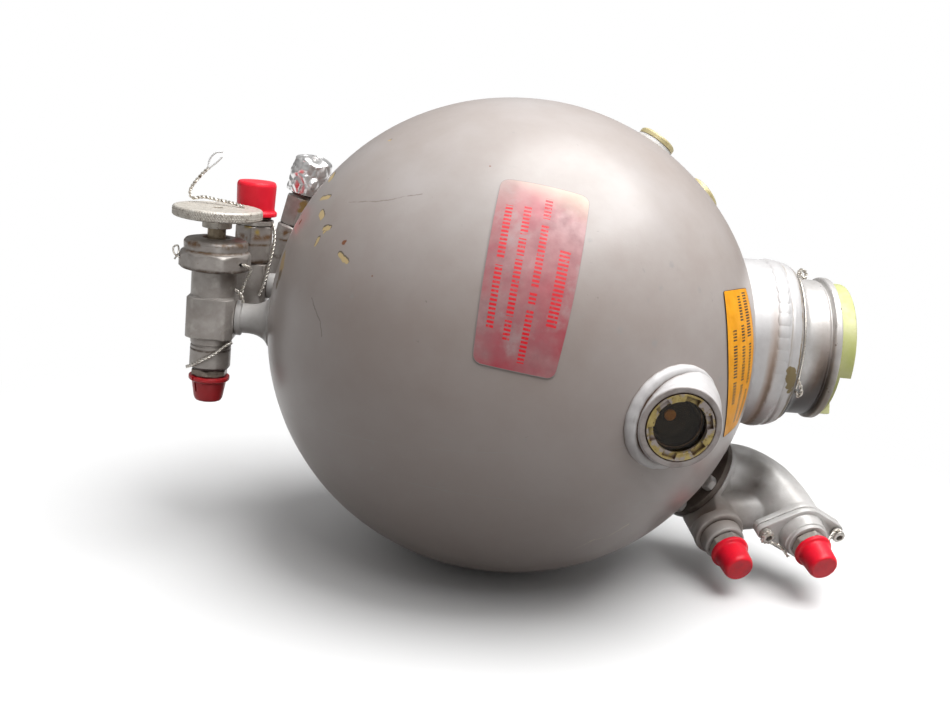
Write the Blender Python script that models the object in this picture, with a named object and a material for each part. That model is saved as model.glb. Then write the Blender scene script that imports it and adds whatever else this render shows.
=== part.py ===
"""Welded spherical hydraulic reservoir with its valves, sight glass, filler cap and outlet manifold.

Metres, +Z up. +X runs along the filler neck, -Y faces the sight glass, and the origin is on the
flat face of the rear mounting pad. Every fitting is laid out from the tank's centre.
"""

import math

import bmesh
import bpy
from mathutils import Matrix, Vector

# Tank
TANK_HALF_LENGTH = 0.1555
TANK_RADIUS = 0.151
TANK_WALL = 0.0026
SEAT_GAP = 0.0003
TANK_SEGMENTS = 34
TANK_RINGS = 18
INSIDE_SEGMENTS = 24
INSIDE_RINGS = 14

# Facets of round pieces: pieces that fit each other share a number
LARGE_ROUND = 28
MEDIUM_ROUND = 20
SMALL_ROUND = 14
HOLE_ROUND = 8

# Rear mounting pad
PAD_RADIUS = 0.031
PAD_HEIGHT = 0.009
PAD_HOLE_CIRCLE = 0.022
PAD_HOLE_RADIUS = 0.0033
PAD_HOLE_DEPTH = 0.006
PAD_HOLES = 4

# Filler neck and its bolted adapter
NECK_HEIGHT = 0.0115
NECK_RADIUS = 0.0535
NECK_WALL = 0.0030
NECK_START = TANK_HALF_LENGTH - 0.0355
NECK_END = TANK_HALF_LENGTH + 0.0185
NECK_BEAD_AT = TANK_HALF_LENGTH + 0.0060
NECK_BEAD = 0.0013
NECK_LIP_RADIUS = NECK_RADIUS - 0.0022
ADAPTER_LENGTH = 0.0266
ADAPTER_FOOT_RADIUS = NECK_RADIUS - 0.0035
ADAPTER_LIP_RADIUS = NECK_RADIUS - 0.0075
ADAPTER_GROOVE_RADIUS = NECK_RADIUS - 0.0097
ADAPTER_BORE = NECK_RADIUS - 0.0173
ADAPTER_LEDGE = 0.0032
ADAPTER_SPIGOT = 0.0110

# Filler cap
CAP_SEAT_DEPTH = 0.0090
CAP_GRIP_RADIUS = NECK_RADIUS - 0.0107
CAP_GRIP_WALL = 0.0070
CAP_GRIP_HEIGHT = 0.0098
CAP_GRIP_FLOOR = 0.0026
CAP_GRIP_BAR = 0.0100
CAP_HUB_RADIUS = 0.0110
CAP_NOTCH_ANGLE = 55.0
CAP_NOTCH_AT = (-50.0, 130.0)
CAP_SPIGOT_CLEARANCE = 0.0018
CAP_SPIGOT_LENGTH = 0.0120
CAP_GROOVE_DEPTH = 0.0010
CAP_GROOVE_WIDTH = 0.0034
CAP_GROOVE_DROP = 0.0065
CAP_FLOOR = 0.0040

# Front sight glass, canted forward from the tank's radius
SIGHT_FACE = Vector((TANK_HALF_LENGTH * 0.53955, -TANK_RADIUS * 0.943046, -0.0109))
SIGHT_AXIS = Vector((0.09, -0.99, -0.05)).normalized()
SIGHT_RADIUS = 0.0235
SIGHT_FOOT_RADIUS = 0.0285
SIGHT_BORE = 0.0194
SIGHT_BORE_DEPTH = 0.0105
SIGHT_OPENING = 0.0142
SIGHT_SLEEVE_RADIUS = 0.0230
SIGHT_SLEEVE_LENGTH = 0.0240
SIGHT_LENS = 0.0050
SIGHT_RING_HEIGHT = 0.0036
SIGHT_SLOTS = 6
SIGHT_SLOT_WIDTH = 0.0048
SIGHT_SLOT_WALL = 0.0016
SIGHT_SLOT_FLOOR = 0.0016
SIGHT_GASKET = 0.0012

# Small ports on the upper right
LEVEL_PORT_DIRECTION = Vector((0.765, 0.22, 0.643)).normalized()
BLANK_PORT_DIRECTION = Vector((0.52, 0.15, 0.84)).normalized()
LEVEL_PORT_RADIUS = 0.0135
BLANK_PORT_RADIUS = 0.0128
SMALL_PORT_BORE = 0.0075
LEVEL_PORT_HEIGHT = 0.0035
BLANK_PORT_HEIGHT = 0.0030

# Outlet: tank flange, manifold casting and its two ports
OUTLET_DIRECTION = Vector((0.8273, 0.1728, -0.5345)).normalized()
OUTLET_STAND_OFF = 0.0160
OUTLET_FLANGE_RADIUS = 0.0320
OUTLET_FLANGE = 0.0040
OUTLET_PIPE_RADIUS = 0.0215
OUTLET_BORE = 0.0150
OUTLET_BOLTS = 6
OUTLET_BOLT_CIRCLE = 0.0272
OUTLET_BOLT_RADIUS = 0.0022
OUTLET_HEAD_RADIUS = 0.0042
DRUM_RADIUS = 0.0265
DRUM_LENGTH = 0.0170
PORT_AXIS = Vector((0.2165, -0.9215, -0.3224)).normalized()
PORT_A_REACH = Vector((0.078864, -0.036618, -0.028166))
PORT_B_REACH = Vector((0.025564, -0.041618, -0.036066))
EAR_LEAN = Vector((1.0, 0.23, 0.0))
EAR_DIRECTION = (EAR_LEAN - EAR_LEAN.dot(PORT_AXIS) * PORT_AXIS).normalized()
EAR_SPACING = 0.0265
EAR_RADIUS = 0.0056
PORT_PLATE = 0.0044
PORT_A_RADIUS = 0.0146
PORT_A_BOSS = 0.0150
PORT_B_RADIUS = 0.0155
PORT_B_BOSS = 0.0090
ELBOW_RADIUS = 0.0215
WEB_RADIUS = 0.0140
WEB_DROP = 0.0230
BRANCH_RADIUS = 0.0165
BRANCH_LENGTH = 0.0360

# Flared port fittings and their plastic dust caps
PORT_BORE = 0.0052
PORT_THREAD = 0.0088
PORT_THREAD_LENGTH = 0.0110
PORT_HEX = 0.0105
PORT_HEX_HEIGHT = 0.0055
PORT_CAP_RADIUS = 0.0125
PORT_CAP_HEIGHT = 0.0180
PORT_CAP_END = 0.0098
DUST_WALL = 0.0012

# Vent valve
VALVE_X = -(TANK_HALF_LENGTH + 0.0365)
VALVE_Z = -0.0050
VALVE_BLOCK = 0.0300
VALVE_BLOCK_HEIGHT = 0.0265
VALVE_TOP_RADIUS = 0.01425
VALVE_TOP_HEIGHT = 0.0170
VALVE_LOW_RADIUS = 0.0130
VALVE_LOW_HEIGHT = 0.0210
VALVE_BORE = 0.0090
VALVE_OUTLET_BORE = 0.0050
BONNET_FLATS = 0.0430
BONNET_HEIGHT = 0.0115
BONNET_COLLAR_RADIUS = 0.0200
BONNET_COLLAR_HEIGHT = 0.0085
STEM_RADIUS = 0.0057
STEM_CLEARANCE = 0.0003
WHEEL_RADIUS = 0.0280
WHEEL_THICKNESS = 0.0070
WHEEL_KNURLS = 26
WHEEL_HUB_RADIUS = 0.0092
WHEEL_HUB_HEIGHT = 0.0060
WHEEL_GAP = 0.0060
SPINDLE_RADIUS = 0.0032
POPPET_RADIUS = 0.0078
POPPET_HEIGHT = 0.0050
STUB_RADIUS = 0.0095
STUB_FLARE = 0.0130
STUB_BORE = 0.0050
VENT_THREAD = 0.0090
VENT_THREAD_LENGTH = 0.0095
VENT_HEX_HEIGHT = 0.0045
VENT_CAP_RADIUS = 0.0130
VENT_CAP_HEIGHT = 0.0165
VENT_CAP_END = 0.0075

# Pressure fitting behind the vent valve
PRESSURE_AT = Vector((-(TANK_HALF_LENGTH + 0.0197), 0.0450, 0.0090))
PRESSURE_BLOCK = 0.0220
PRESSURE_BLOCK_LOW = -0.0165
PRESSURE_BLOCK_TOP = 0.0155
PRESSURE_HEX = 0.0115
PRESSURE_HEX_HEIGHT = 0.0250
PRESSURE_THREAD = 0.0108
PRESSURE_THREAD_LENGTH = 0.0200
PRESSURE_CAP_RADIUS = 0.0142
PRESSURE_CAP_HEIGHT = 0.0225
PRESSURE_CAP_END = 0.0130
PRESSURE_CAP_RISE = 0.0062
LOCK_RING_RADIUS = 0.0125
LOCK_RING_HEIGHT = 0.0030
SIDE_STUB_RADIUS = 0.0085

# Foil-wrapped return fitting, leaning
RETURN_AT = Vector((-(TANK_HALF_LENGTH + 0.0030), 0.0780, 0.0180))
RETURN_AXIS = Vector((0.21, 0.0, 0.978)).normalized()
RETURN_BODY_RADIUS = 0.0115
RETURN_BODY_HEIGHT = 0.0300
RETURN_HEX = 0.0100
RETURN_HEX_HEIGHT = 0.0200
RETURN_THREAD = 0.0085
RETURN_THREAD_LENGTH = 0.0200
FOIL_RADIUS = 0.0145
FOIL_HEIGHT = 0.0270

# Inside the tank
ELEMENT_RADIUS = 0.0245
ELEMENT_LENGTH = 0.0720
ELEMENT_PLEATS = 18
ELEMENT_PLEAT_DEPTH = 0.0070
ELEMENT_TUBE_WALL = 0.0015
ELEMENT_SPIGOT = 0.0160
ELEMENT_STAND_OFF = 0.0048
ELEMENT_CAP = 0.0030
STANDPIPE_RADIUS = 0.0044
STANDPIPE_SPIGOT = 0.0060
DIFFUSER_RADIUS = 0.0065
DIFFUSER_LENGTH = 0.0405
DIFFUSER_STAND_OFF = 0.0090
STANDPIPE_TOP = TANK_RADIUS - 0.033

TANK_CENTRE = Vector((0.0, -(TANK_RADIUS + PAD_HEIGHT), 0.0))


def clear_scene():
    for thing in list(bpy.data.objects):
        bpy.data.objects.remove(thing, do_unlink=True)


def material(name, colour, roughness, metallic):
    """Principled finish shared by the pieces that have it."""
    finish = bpy.data.materials.get(name) or bpy.data.materials.new(name)
    finish.use_nodes = True
    shader = finish.node_tree.nodes["Principled BSDF"]
    shader.inputs["Base Color"].default_value = (*colour, 1.0)
    shader.inputs["Roughness"].default_value = roughness
    shader.inputs["Metallic"].default_value = metallic
    finish.diffuse_color = (*colour, 1.0)
    return finish


def frame(name, origin, axis, side=(1.0, 0.0, 0.0)):
    """Empty at a point from the tank's centre, its Z along the axis and its X near the side."""
    up = Vector(axis).normalized()
    across = Vector(side) - Vector(side).dot(up) * up
    if across.length < 0.001:
        across = Vector((0.0, 1.0, 0.0)) - up.y * up
    across.normalize()
    empty = bpy.data.objects.new(name, None)
    empty.empty_display_size = 0.02
    turn = Matrix((across, up.cross(across), up)).transposed().to_4x4()
    empty.matrix_world = Matrix.Translation(TANK_CENTRE + Vector(origin)) @ turn
    bpy.context.scene.collection.objects.link(empty)
    return empty


def add_object(name, bm, finish, parent):
    """Turn a bmesh into a named object in the parent's frame."""
    bmesh.ops.recalc_face_normals(bm, faces=bm.faces)
    mesh = bpy.data.meshes.new(name)
    bm.to_mesh(mesh)
    bm.free()
    mesh.shade_smooth()
    mesh.set_sharp_from_angle(angle=math.radians(35))
    mesh.materials.append(finish)
    made = bpy.data.objects.new(name, mesh)
    made.parent = parent
    bpy.context.scene.collection.objects.link(made)
    return made


def spin_profile(bm, outline, segments):
    """Spin a closed (radius, height) outline about Z, merging points that lie on the axis."""
    points = [bm.verts.new((radius, 0.0, height)) for radius, height in outline]
    edges = [bm.edges.new((points[i], points[i - 1])) for i in range(1, len(points))]
    if outline[0][0] > 0.0 or outline[-1][0] > 0.0:
        edges.append(bm.edges.new((points[0], points[-1])))
    bmesh.ops.spin(bm, geom=points + edges, cent=(0, 0, 0), axis=(0, 0, 1),
                   angle=math.tau, steps=segments, use_merge=True)
    bmesh.ops.remove_doubles(bm, verts=bm.verts, dist=0.000001)


def turned(name, outline, finish, parent, segments=SMALL_ROUND):
    """Piece turned on a lathe about the parent's Z axis."""
    bm = bmesh.new()
    spin_profile(bm, outline, segments)
    return add_object(name, bm, finish, parent)


def prism(name, outline, low, high, finish, parent):
    """Flat outline of (x, y) points extruded from one height to another."""
    bm = bmesh.new()
    face = bm.faces.new([bm.verts.new((x, y, low)) for x, y in outline])
    lifted = bmesh.ops.extrude_face_region(bm, geom=[face])
    moved = [item for item in lifted["geom"] if isinstance(item, bmesh.types.BMVert)]
    bmesh.ops.translate(bm, verts=moved, vec=(0, 0, high - low))
    return add_object(name, bm, finish, parent)


def polygon(sides, flats, turn=0.0):
    """Regular outline measured across its flats."""
    radius = flats / 2 / math.cos(math.pi / sides)
    angles = [turn + math.tau * (i + 0.5) / sides for i in range(sides)]
    return [(radius * math.cos(a), radius * math.sin(a)) for a in angles]


def disc(radius, sides, centre=(0.0, 0.0)):
    angles = [math.tau * i / sides for i in range(sides)]
    return [(centre[0] + radius * math.cos(a), centre[1] + radius * math.sin(a)) for a in angles]


def plate_outline(centre_radius, ear_radius, ear_at, steps=4):
    """Two-eared plate: a round middle and two round ears joined by tangent lines."""
    lean = math.acos((centre_radius - ear_radius) / ear_at)
    points = []
    for middle, radius, first, last in (
            (0.0, centre_radius, lean, math.pi - lean),
            (-ear_at, ear_radius, math.pi - lean, math.pi + lean),
            (0.0, centre_radius, math.pi + lean, math.tau - lean),
            (ear_at, ear_radius, -lean, lean)):
        for i in range(steps + 1):
            angle = first + (last - first) * i / steps
            points.append((middle + radius * math.cos(angle), radius * math.sin(angle)))
    return points


def swept(name, path, radii, finish, parent, sides=SMALL_ROUND):
    """Round casting that follows a path, with its own radius at each point."""
    bm = bmesh.new()
    rings = []
    side = Vector((0.0, 0.0, 1.0))
    for i, point in enumerate(path):
        ahead = (path[min(i + 1, len(path) - 1)] - path[max(i - 1, 0)]).normalized()
        side = (side - side.dot(ahead) * ahead).normalized()
        other = ahead.cross(side)
        angles = [math.tau * k / sides for k in range(sides)]
        rings.append([bm.verts.new(point + radii[i] * (math.cos(a) * side + math.sin(a) * other))
                      for a in angles])
    for ring, following in zip(rings, rings[1:]):
        for k in range(sides):
            bm.faces.new((ring[k - 1], ring[k], following[k], following[k - 1]))
    bm.faces.new(rings[0])
    bm.faces.new(rings[-1])
    return add_object(name, bm, finish, parent)


def bezier(points, steps):
    """Points along one smooth cubic curve."""
    a, b, c, d = points
    path = []
    for i in range(steps + 1):
        t = i / steps
        s = 1.0 - t
        path.append(a * s ** 3 + 3 * b * s * s * t + 3 * c * s * t * t + d * t ** 3)
    return path


def combine(target, other, operation):
    """Boolean that stays on the target; the other object is a hidden guide."""
    other.hide_render = True
    other.display_type = "WIRE"
    step = target.modifiers.new(f"{operation.lower()}_{other.name}"[:60], "BOOLEAN")
    step.operation = operation
    step.object = other
    step.solver = "EXACT"
    return target


def cut(target, *cutters):
    for cutter in cutters:
        combine(target, cutter, "DIFFERENCE")
    return target


def join(target, *others):
    for other in others:
        combine(target, other, "UNION")
    return target


def drill(name, radius, low, high, parent, sides=HOLE_ROUND, centre=(0.0, 0.0)):
    """Round cutter along the parent's Z axis."""
    return prism(name, disc(radius, sides, centre), low, high, STEEL, parent)


def on_tank(direction):
    """Point of the outer skin in a direction from the tank's centre."""
    d = Vector(direction).normalized()
    scale = math.sqrt((d.x / TANK_HALF_LENGTH) ** 2 + (d.y ** 2 + d.z ** 2) / TANK_RADIUS ** 2)
    return d / scale


def skin_normal(direction):
    """Way that the outer skin faces in a direction from the tank's centre."""
    spot = on_tank(direction)
    return Vector((spot.x / TANK_HALF_LENGTH ** 2, spot.y / TANK_RADIUS ** 2,
                   spot.z / TANK_RADIUS ** 2)).normalized()


def skin_x(y, z):
    """Distance along X from the centre plane to the outer skin at a given y and z."""
    return TANK_HALF_LENGTH * math.sqrt(1.0 - (y * y + z * z) / TANK_RADIUS ** 2)


def spheroid(name, growth, finish, parent, segments=TANK_SEGMENTS, rings=TANK_RINGS):
    """Tank form grown or shrunk evenly, turned about the long axis."""
    length = TANK_HALF_LENGTH + growth
    radius = TANK_RADIUS + growth
    outline = []
    for i in range(rings + 1):
        angle = math.pi * i / rings
        across = 0.0 if i in (0, rings) else radius * math.sin(angle)
        outline.append((across, length * math.cos(angle)))
    return turned(name, outline, finish, parent, segments)


clear_scene()
PAINT = material("grey_enamel_on_aluminium", (0.40, 0.39, 0.39), 0.38, 0.0)
BARE = material("bare_aluminium", (0.55, 0.54, 0.52), 0.42, 1.0)
CAST = material("painted_casting", (0.32, 0.31, 0.30), 0.45, 0.3)
STEEL = material("stainless_steel", (0.55, 0.54, 0.53), 0.33, 1.0)
GOLD = material("chromate_conversion", (0.52, 0.43, 0.17), 0.40, 0.6)
GREEN = material("chromate_cap", (0.66, 0.70, 0.32), 0.45, 0.3)
RED = material("red_polyethylene", (0.80, 0.02, 0.05), 0.32, 0.0)
GLASS = material("sight_glass", (0.80, 0.84, 0.78), 0.05, 0.0)
RUBBER = material("seal_rubber", (0.02, 0.02, 0.02), 0.6, 0.0)
PAPER = material("pleated_medium", (0.62, 0.55, 0.38), 0.85, 0.0)
FOIL = material("aluminium_foil", (0.80, 0.80, 0.82), 0.22, 1.0)

CENTRE = frame("tank_centre", (0, 0, 0), (0, 0, 1))
LONG_AXIS = frame("tank_long_axis", (0, 0, 0), (1, 0, 0), side=(0, 0, 1))
NECK = frame("filler_axis", (0, 0, NECK_HEIGHT), (1, 0, 0), side=(0, 0, 1))
SKIN_GUIDE = spheroid("skin_clearance_guide", SEAT_GAP, STEEL, LONG_AXIS)
PORT_A = on_tank(OUTLET_DIRECTION) + PORT_A_REACH
PORT_B = on_tank(OUTLET_DIRECTION) + PORT_B_REACH


def seat_on_skin(piece):
    """Trim a welded fitting's foot to the tank's outer skin."""
    return cut(piece, SKIN_GUIDE)


def dust_cap(name, parent, base, thread, rim, height, end, flange=0.0016):
    """Tapered push-on cup, open towards the fitting that it covers."""
    inner = thread + SEAT_GAP
    outline = [(0.0, base + height), (end - 0.001, base + height), (end, base + height - 0.001),
               (inner + DUST_WALL, base + flange), (rim, base + flange), (rim, base),
               (inner, base), (inner, base + height - 0.006),
               (end - DUST_WALL - 0.001, base + height - DUST_WALL), (0.0, base + height - DUST_WALL)]
    return turned(name, outline, RED, parent)


def port_fitting(name, parent, base, thread=PORT_THREAD, hexagon=PORT_HEX,
                 hex_height=PORT_HEX_HEIGHT, length=PORT_THREAD_LENGTH, bore=PORT_BORE):
    """Flared tube fitting: hexagon below, plain-drawn threaded nose above, bored through."""
    hexed = prism(name, polygon(6, hexagon * 2), base, base + hex_height, STEEL, parent)
    top = base + hex_height + length
    nose = turned(f"{name}_nose_guide",
                  [(0.0, base + hex_height - 0.001), (thread, base + hex_height - 0.001),
                   (thread, top - 0.0025), (thread - 0.0025, top), (0.0, top)],
                  STEEL, parent)
    join(hexed, nose)
    return cut(hexed, drill(f"{name}_bore_guide", bore, base + 0.001, top + 0.01, parent, HOLE_ROUND))


def build_tank():
    shell = spheroid("tank_shell", 0.0, PAINT, LONG_AXIS)
    inside = spheroid("tank_inside_guide", -TANK_WALL, STEEL, LONG_AXIS,
                      INSIDE_SEGMENTS, INSIDE_RINGS)
    vent = frame("vent_stub_axis", (0, 0, VALVE_Z), (-1, 0, 0))
    pressure = frame("pressure_axis", (0, PRESSURE_AT.y, PRESSURE_AT.z), (-1, 0, 0))
    fluid_return = frame("return_axis", (0, RETURN_AT.y, RETURN_AT.z), (-1, 0, 0))
    level = frame("level_port_axis", (0, 0, 0), LEVEL_PORT_DIRECTION)
    outlet = frame("outlet_axis", (0, 0, 0), OUTLET_DIRECTION)
    sight = frame("sight_axis", SIGHT_FACE, SIGHT_AXIS)
    reach = TANK_HALF_LENGTH + 0.02
    cut(shell, inside,
        drill("neck_hole_guide", NECK_RADIUS - NECK_WALL, 0.06, reach, NECK, LARGE_ROUND),
        drill("vent_hole_guide", STUB_BORE, 0.06, reach, vent),
        drill("pressure_hole_guide", STUB_BORE, 0.06, reach, pressure),
        drill("return_hole_guide", STUB_BORE, 0.06, reach, fluid_return),
        drill("level_hole_guide", SMALL_PORT_BORE, 0.06, reach, level, SMALL_ROUND),
        drill("outlet_hole_guide", OUTLET_BORE, 0.06, reach, outlet, MEDIUM_ROUND),
        drill("sight_hole_guide", SIGHT_SLEEVE_RADIUS + SEAT_GAP, -0.06, 0.01, sight, MEDIUM_ROUND))


def build_rear_pad():
    """Welded boss with a flat face and four blind tapped holes: the part hangs on it."""
    pad = frame("rear_pad_axis", (0, TANK_RADIUS, 0), (0, 1, 0))
    outline = [(0.0, PAD_HEIGHT), (PAD_RADIUS - 0.001, PAD_HEIGHT), (PAD_RADIUS, PAD_HEIGHT - 0.001),
               (PAD_RADIUS + 0.0015, -0.006), (0.0, -0.006)]
    boss = seat_on_skin(turned("rear_mount_pad", outline, PAINT, pad, MEDIUM_ROUND))
    for i in range(PAD_HOLES):
        angle = math.tau * (i + 0.5) / PAD_HOLES
        spot = (PAD_HOLE_CIRCLE * math.cos(angle), PAD_HOLE_CIRCLE * math.sin(angle))
        cut(boss, drill(f"pad_hole_guide_{i}", PAD_HOLE_RADIUS, PAD_HEIGHT - PAD_HOLE_DEPTH,
                        PAD_HEIGHT + 0.01, pad, HOLE_ROUND, spot))


def build_filler():
    """Neck welded to the tank, machined adapter, and the cap with its turning grip."""
    bore = NECK_RADIUS - NECK_WALL
    neck = turned("filler_neck", [
        (bore, NECK_START), (NECK_RADIUS, NECK_START), (NECK_RADIUS, NECK_BEAD_AT - 0.005),
        (NECK_RADIUS + NECK_BEAD, NECK_BEAD_AT - 0.0015), (NECK_RADIUS + NECK_BEAD, NECK_BEAD_AT + 0.0015),
        (NECK_RADIUS, NECK_BEAD_AT + 0.005), (NECK_RADIUS - 0.0008, NECK_END - 0.0050),
        (NECK_LIP_RADIUS, NECK_END), (bore, NECK_END)], PAINT, NECK, LARGE_ROUND)
    seat_on_skin(neck)

    foot = NECK_END + SEAT_GAP
    face = foot + ADAPTER_LENGTH
    turned("filler_adapter", [
        (ADAPTER_BORE, foot - ADAPTER_SPIGOT), (bore - SEAT_GAP, foot - ADAPTER_SPIGOT),
        (bore - SEAT_GAP, foot), (ADAPTER_FOOT_RADIUS, foot), (ADAPTER_FOOT_RADIUS - 0.0005, foot + 0.0022),
        (ADAPTER_GROOVE_RADIUS + 0.0008, foot + 0.0040), (ADAPTER_GROOVE_RADIUS, face - 0.0068),
        (ADAPTER_LIP_RADIUS - 0.0006, face - 0.0050), (ADAPTER_LIP_RADIUS, face - 0.0042),
        (ADAPTER_LIP_RADIUS, face - 0.0006), (ADAPTER_LIP_RADIUS - 0.0006, face),
        (ADAPTER_BORE + ADAPTER_LEDGE, face), (ADAPTER_BORE + ADAPTER_LEDGE, face - CAP_SEAT_DEPTH),
        (ADAPTER_BORE, face - CAP_SEAT_DEPTH)], BARE, NECK, LARGE_ROUND)

    seat = face - CAP_SEAT_DEPTH + SEAT_GAP
    spigot = ADAPTER_BORE - CAP_SPIGOT_CLEARANCE
    root = spigot - CAP_GROOVE_DEPTH
    groove = seat - CAP_GROOVE_DROP
    half = CAP_GROOVE_WIDTH / 2
    end = seat - CAP_SPIGOT_LENGTH
    hollow = spigot - CAP_FLOOR
    rim = ADAPTER_BORE + ADAPTER_LEDGE - SEAT_GAP
    hub_top = face + CAP_GRIP_FLOOR + 0.0030
    turned("cap_plug", [
        (0.0, hub_top), (CAP_HUB_RADIUS - 0.001, hub_top), (CAP_HUB_RADIUS, hub_top - 0.001),
        (CAP_HUB_RADIUS, face), (rim, face), (rim, seat),
        (spigot, seat), (spigot, groove + half), (root, groove + half), (root, groove - half),
        (spigot, groove - half), (spigot, end), (hollow, end), (hollow, seat - CAP_FLOOR),
        (0.0, seat - CAP_FLOOR)],
        GREEN, NECK, LARGE_ROUND)
    seal = (ADAPTER_BORE - root) / 2 - SEAT_GAP
    ring = [(root + SEAT_GAP + seal * (1 + math.cos(a)), groove + seal * math.sin(a))
            for a in [math.tau * i / 6 for i in range(6)]]
    turned("cap_seal", ring, RUBBER, NECK, LARGE_ROUND)

    low = face + SEAT_GAP
    inner = CAP_GRIP_RADIUS - CAP_GRIP_WALL
    grip = turned("cap_grip", [
        (CAP_HUB_RADIUS + SEAT_GAP, low), (CAP_GRIP_RADIUS, low),
        (CAP_GRIP_RADIUS, low + CAP_GRIP_HEIGHT - 0.001), (CAP_GRIP_RADIUS - 0.001, low + CAP_GRIP_HEIGHT),
        (inner, low + CAP_GRIP_HEIGHT), (inner, low + CAP_GRIP_FLOOR),
        (CAP_HUB_RADIUS + SEAT_GAP, low + CAP_GRIP_FLOOR)], GREEN, NECK, LARGE_ROUND)
    start = CAP_HUB_RADIUS + 0.0015
    stop = inner + 0.001
    half = CAP_GRIP_BAR / 2
    for number, side in enumerate((1, -1)):
        outline = [(side * start, -half), (side * stop, -half), (side * stop, half), (side * start, half)]
        bar = prism(f"grip_bar_guide_{number}", outline, low + CAP_GRIP_FLOOR / 2,
                    low + CAP_GRIP_HEIGHT - 0.002, GREEN, NECK)
        join(grip, bar)
    for number, at in enumerate(CAP_NOTCH_AT):
        first = math.radians(at - CAP_NOTCH_ANGLE / 2)
        last = math.radians(at + CAP_NOTCH_ANGLE / 2)
        arc = [first + (last - first) * i / 4 for i in range(5)]
        within = inner - 0.0015
        beyond = CAP_GRIP_RADIUS + 0.01
        wedge = [(beyond * math.cos(a), beyond * math.sin(a)) for a in arc]
        wedge += [(within * math.cos(a), within * math.sin(a)) for a in reversed(arc)]
        cut(grip, prism(f"grip_notch_guide_{number}", wedge, low + CAP_GRIP_FLOOR,
                        low + CAP_GRIP_HEIGHT + 0.01, GREEN, NECK))


def build_sight_glass():
    """Canted boss, gasket, lens and castellated retaining ring."""
    axis = frame("front_sight_axis", SIGHT_FACE, SIGHT_AXIS)
    boss = turned("sight_boss", [
        (0.0, -0.040), (SIGHT_FOOT_RADIUS + 0.003, -0.040), (SIGHT_FOOT_RADIUS, -0.020),
        (SIGHT_RADIUS + 0.0012, -0.0075), (SIGHT_RADIUS, -0.0040), (SIGHT_RADIUS, -0.0008),
        (SIGHT_RADIUS - 0.0008, 0.0), (0.0, 0.0)], PAINT, axis, MEDIUM_ROUND)
    seat_on_skin(boss)
    join(boss, drill("sight_sleeve_guide", SIGHT_SLEEVE_RADIUS, -SIGHT_SLEEVE_LENGTH, -0.002, axis,
                     MEDIUM_ROUND))
    cut(boss, turned("sight_recess_guide", [
        (0.0, 0.010), (SIGHT_BORE, 0.010), (SIGHT_BORE, -SIGHT_BORE_DEPTH),
        (SIGHT_OPENING, -SIGHT_BORE_DEPTH), (SIGHT_OPENING, -0.060), (0.0, -0.060)],
        PAINT, axis, MEDIUM_ROUND))
    outer = SIGHT_BORE - SEAT_GAP
    inner = SIGHT_OPENING + 0.0006
    low = -SIGHT_BORE_DEPTH + SEAT_GAP
    top = low + SIGHT_GASKET
    turned("sight_gasket", [(inner, low), (outer, low), (outer, top), (inner, top)],
           RUBBER, axis, MEDIUM_ROUND)
    low = top + SEAT_GAP
    top = low + SIGHT_LENS
    turned("sight_lens", [(0.0, low), (outer, low), (outer, top - 0.0005), (outer - 0.0005, top), (0.0, top)],
           GLASS, axis, MEDIUM_ROUND)
    low = top + SEAT_GAP
    top = low + SIGHT_RING_HEIGHT
    ring = turned("sight_ring", [(inner, low), (outer, low), (outer, top), (inner, top)],
                  GOLD, axis, MEDIUM_ROUND)
    half = SIGHT_SLOT_WIDTH / 2
    for i in range(SIGHT_SLOTS):
        angle = math.tau * (i + 0.25) / SIGHT_SLOTS
        turn = Matrix.Rotation(angle, 2)
        start = inner - 0.002
        stop = outer - SIGHT_SLOT_WALL
        corners = [(start, -half), (stop, -half), (stop, half), (start, half)]
        outline = [tuple(turn @ Vector(corner)) for corner in corners]
        cut(ring, prism(f"sight_slot_guide_{i}", outline, low + SIGHT_SLOT_FLOOR, top + 0.002, GOLD, axis))


def build_small_ports():
    """Level-switch port and a blanked port, both closed by yellow-passivated ring plugs."""
    ports = (("level_port", LEVEL_PORT_DIRECTION, LEVEL_PORT_RADIUS, LEVEL_PORT_HEIGHT),
             ("blank_port", BLANK_PORT_DIRECTION, BLANK_PORT_RADIUS, BLANK_PORT_HEIGHT))
    slot = [(-0.02, -0.0011), (0.02, -0.0011), (0.02, 0.0011), (-0.02, 0.0011)]
    for stem, direction, radius, height in ports:
        base = on_tank(direction)
        axis = frame(f"{stem}_frame", base, direction)
        boss = turned(f"{stem}_boss", [
            (0.0, -0.004), (radius + 0.0025, -0.004), (radius + 0.0012, 0.0012), (radius, height),
            (0.0, height)], PAINT, axis)
        seat_on_skin(boss)
        cut(boss, drill(f"{stem}_bore_guide", SMALL_PORT_BORE, -0.01 if stem == "level_port" else 0.001,
                        height + 0.01, axis, SMALL_ROUND))
        low = height + SEAT_GAP
        plug = turned(f"{stem}_plug", [
            (0.0, low + 0.0018), (radius - 0.006, low + 0.0018), (radius - 0.006, low + 0.0038),
            (radius - 0.0012, low + 0.0038), (radius - 0.0002, low + 0.0028), (radius - 0.0002, low),
            (SMALL_PORT_BORE - SEAT_GAP, low), (SMALL_PORT_BORE - SEAT_GAP, 0.0015), (0.0, 0.0015)],
            GOLD, axis)
        cut(plug, prism(f"{stem}_slot_guide", slot, low + 0.0022, low + 0.01, GOLD, axis))


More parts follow.
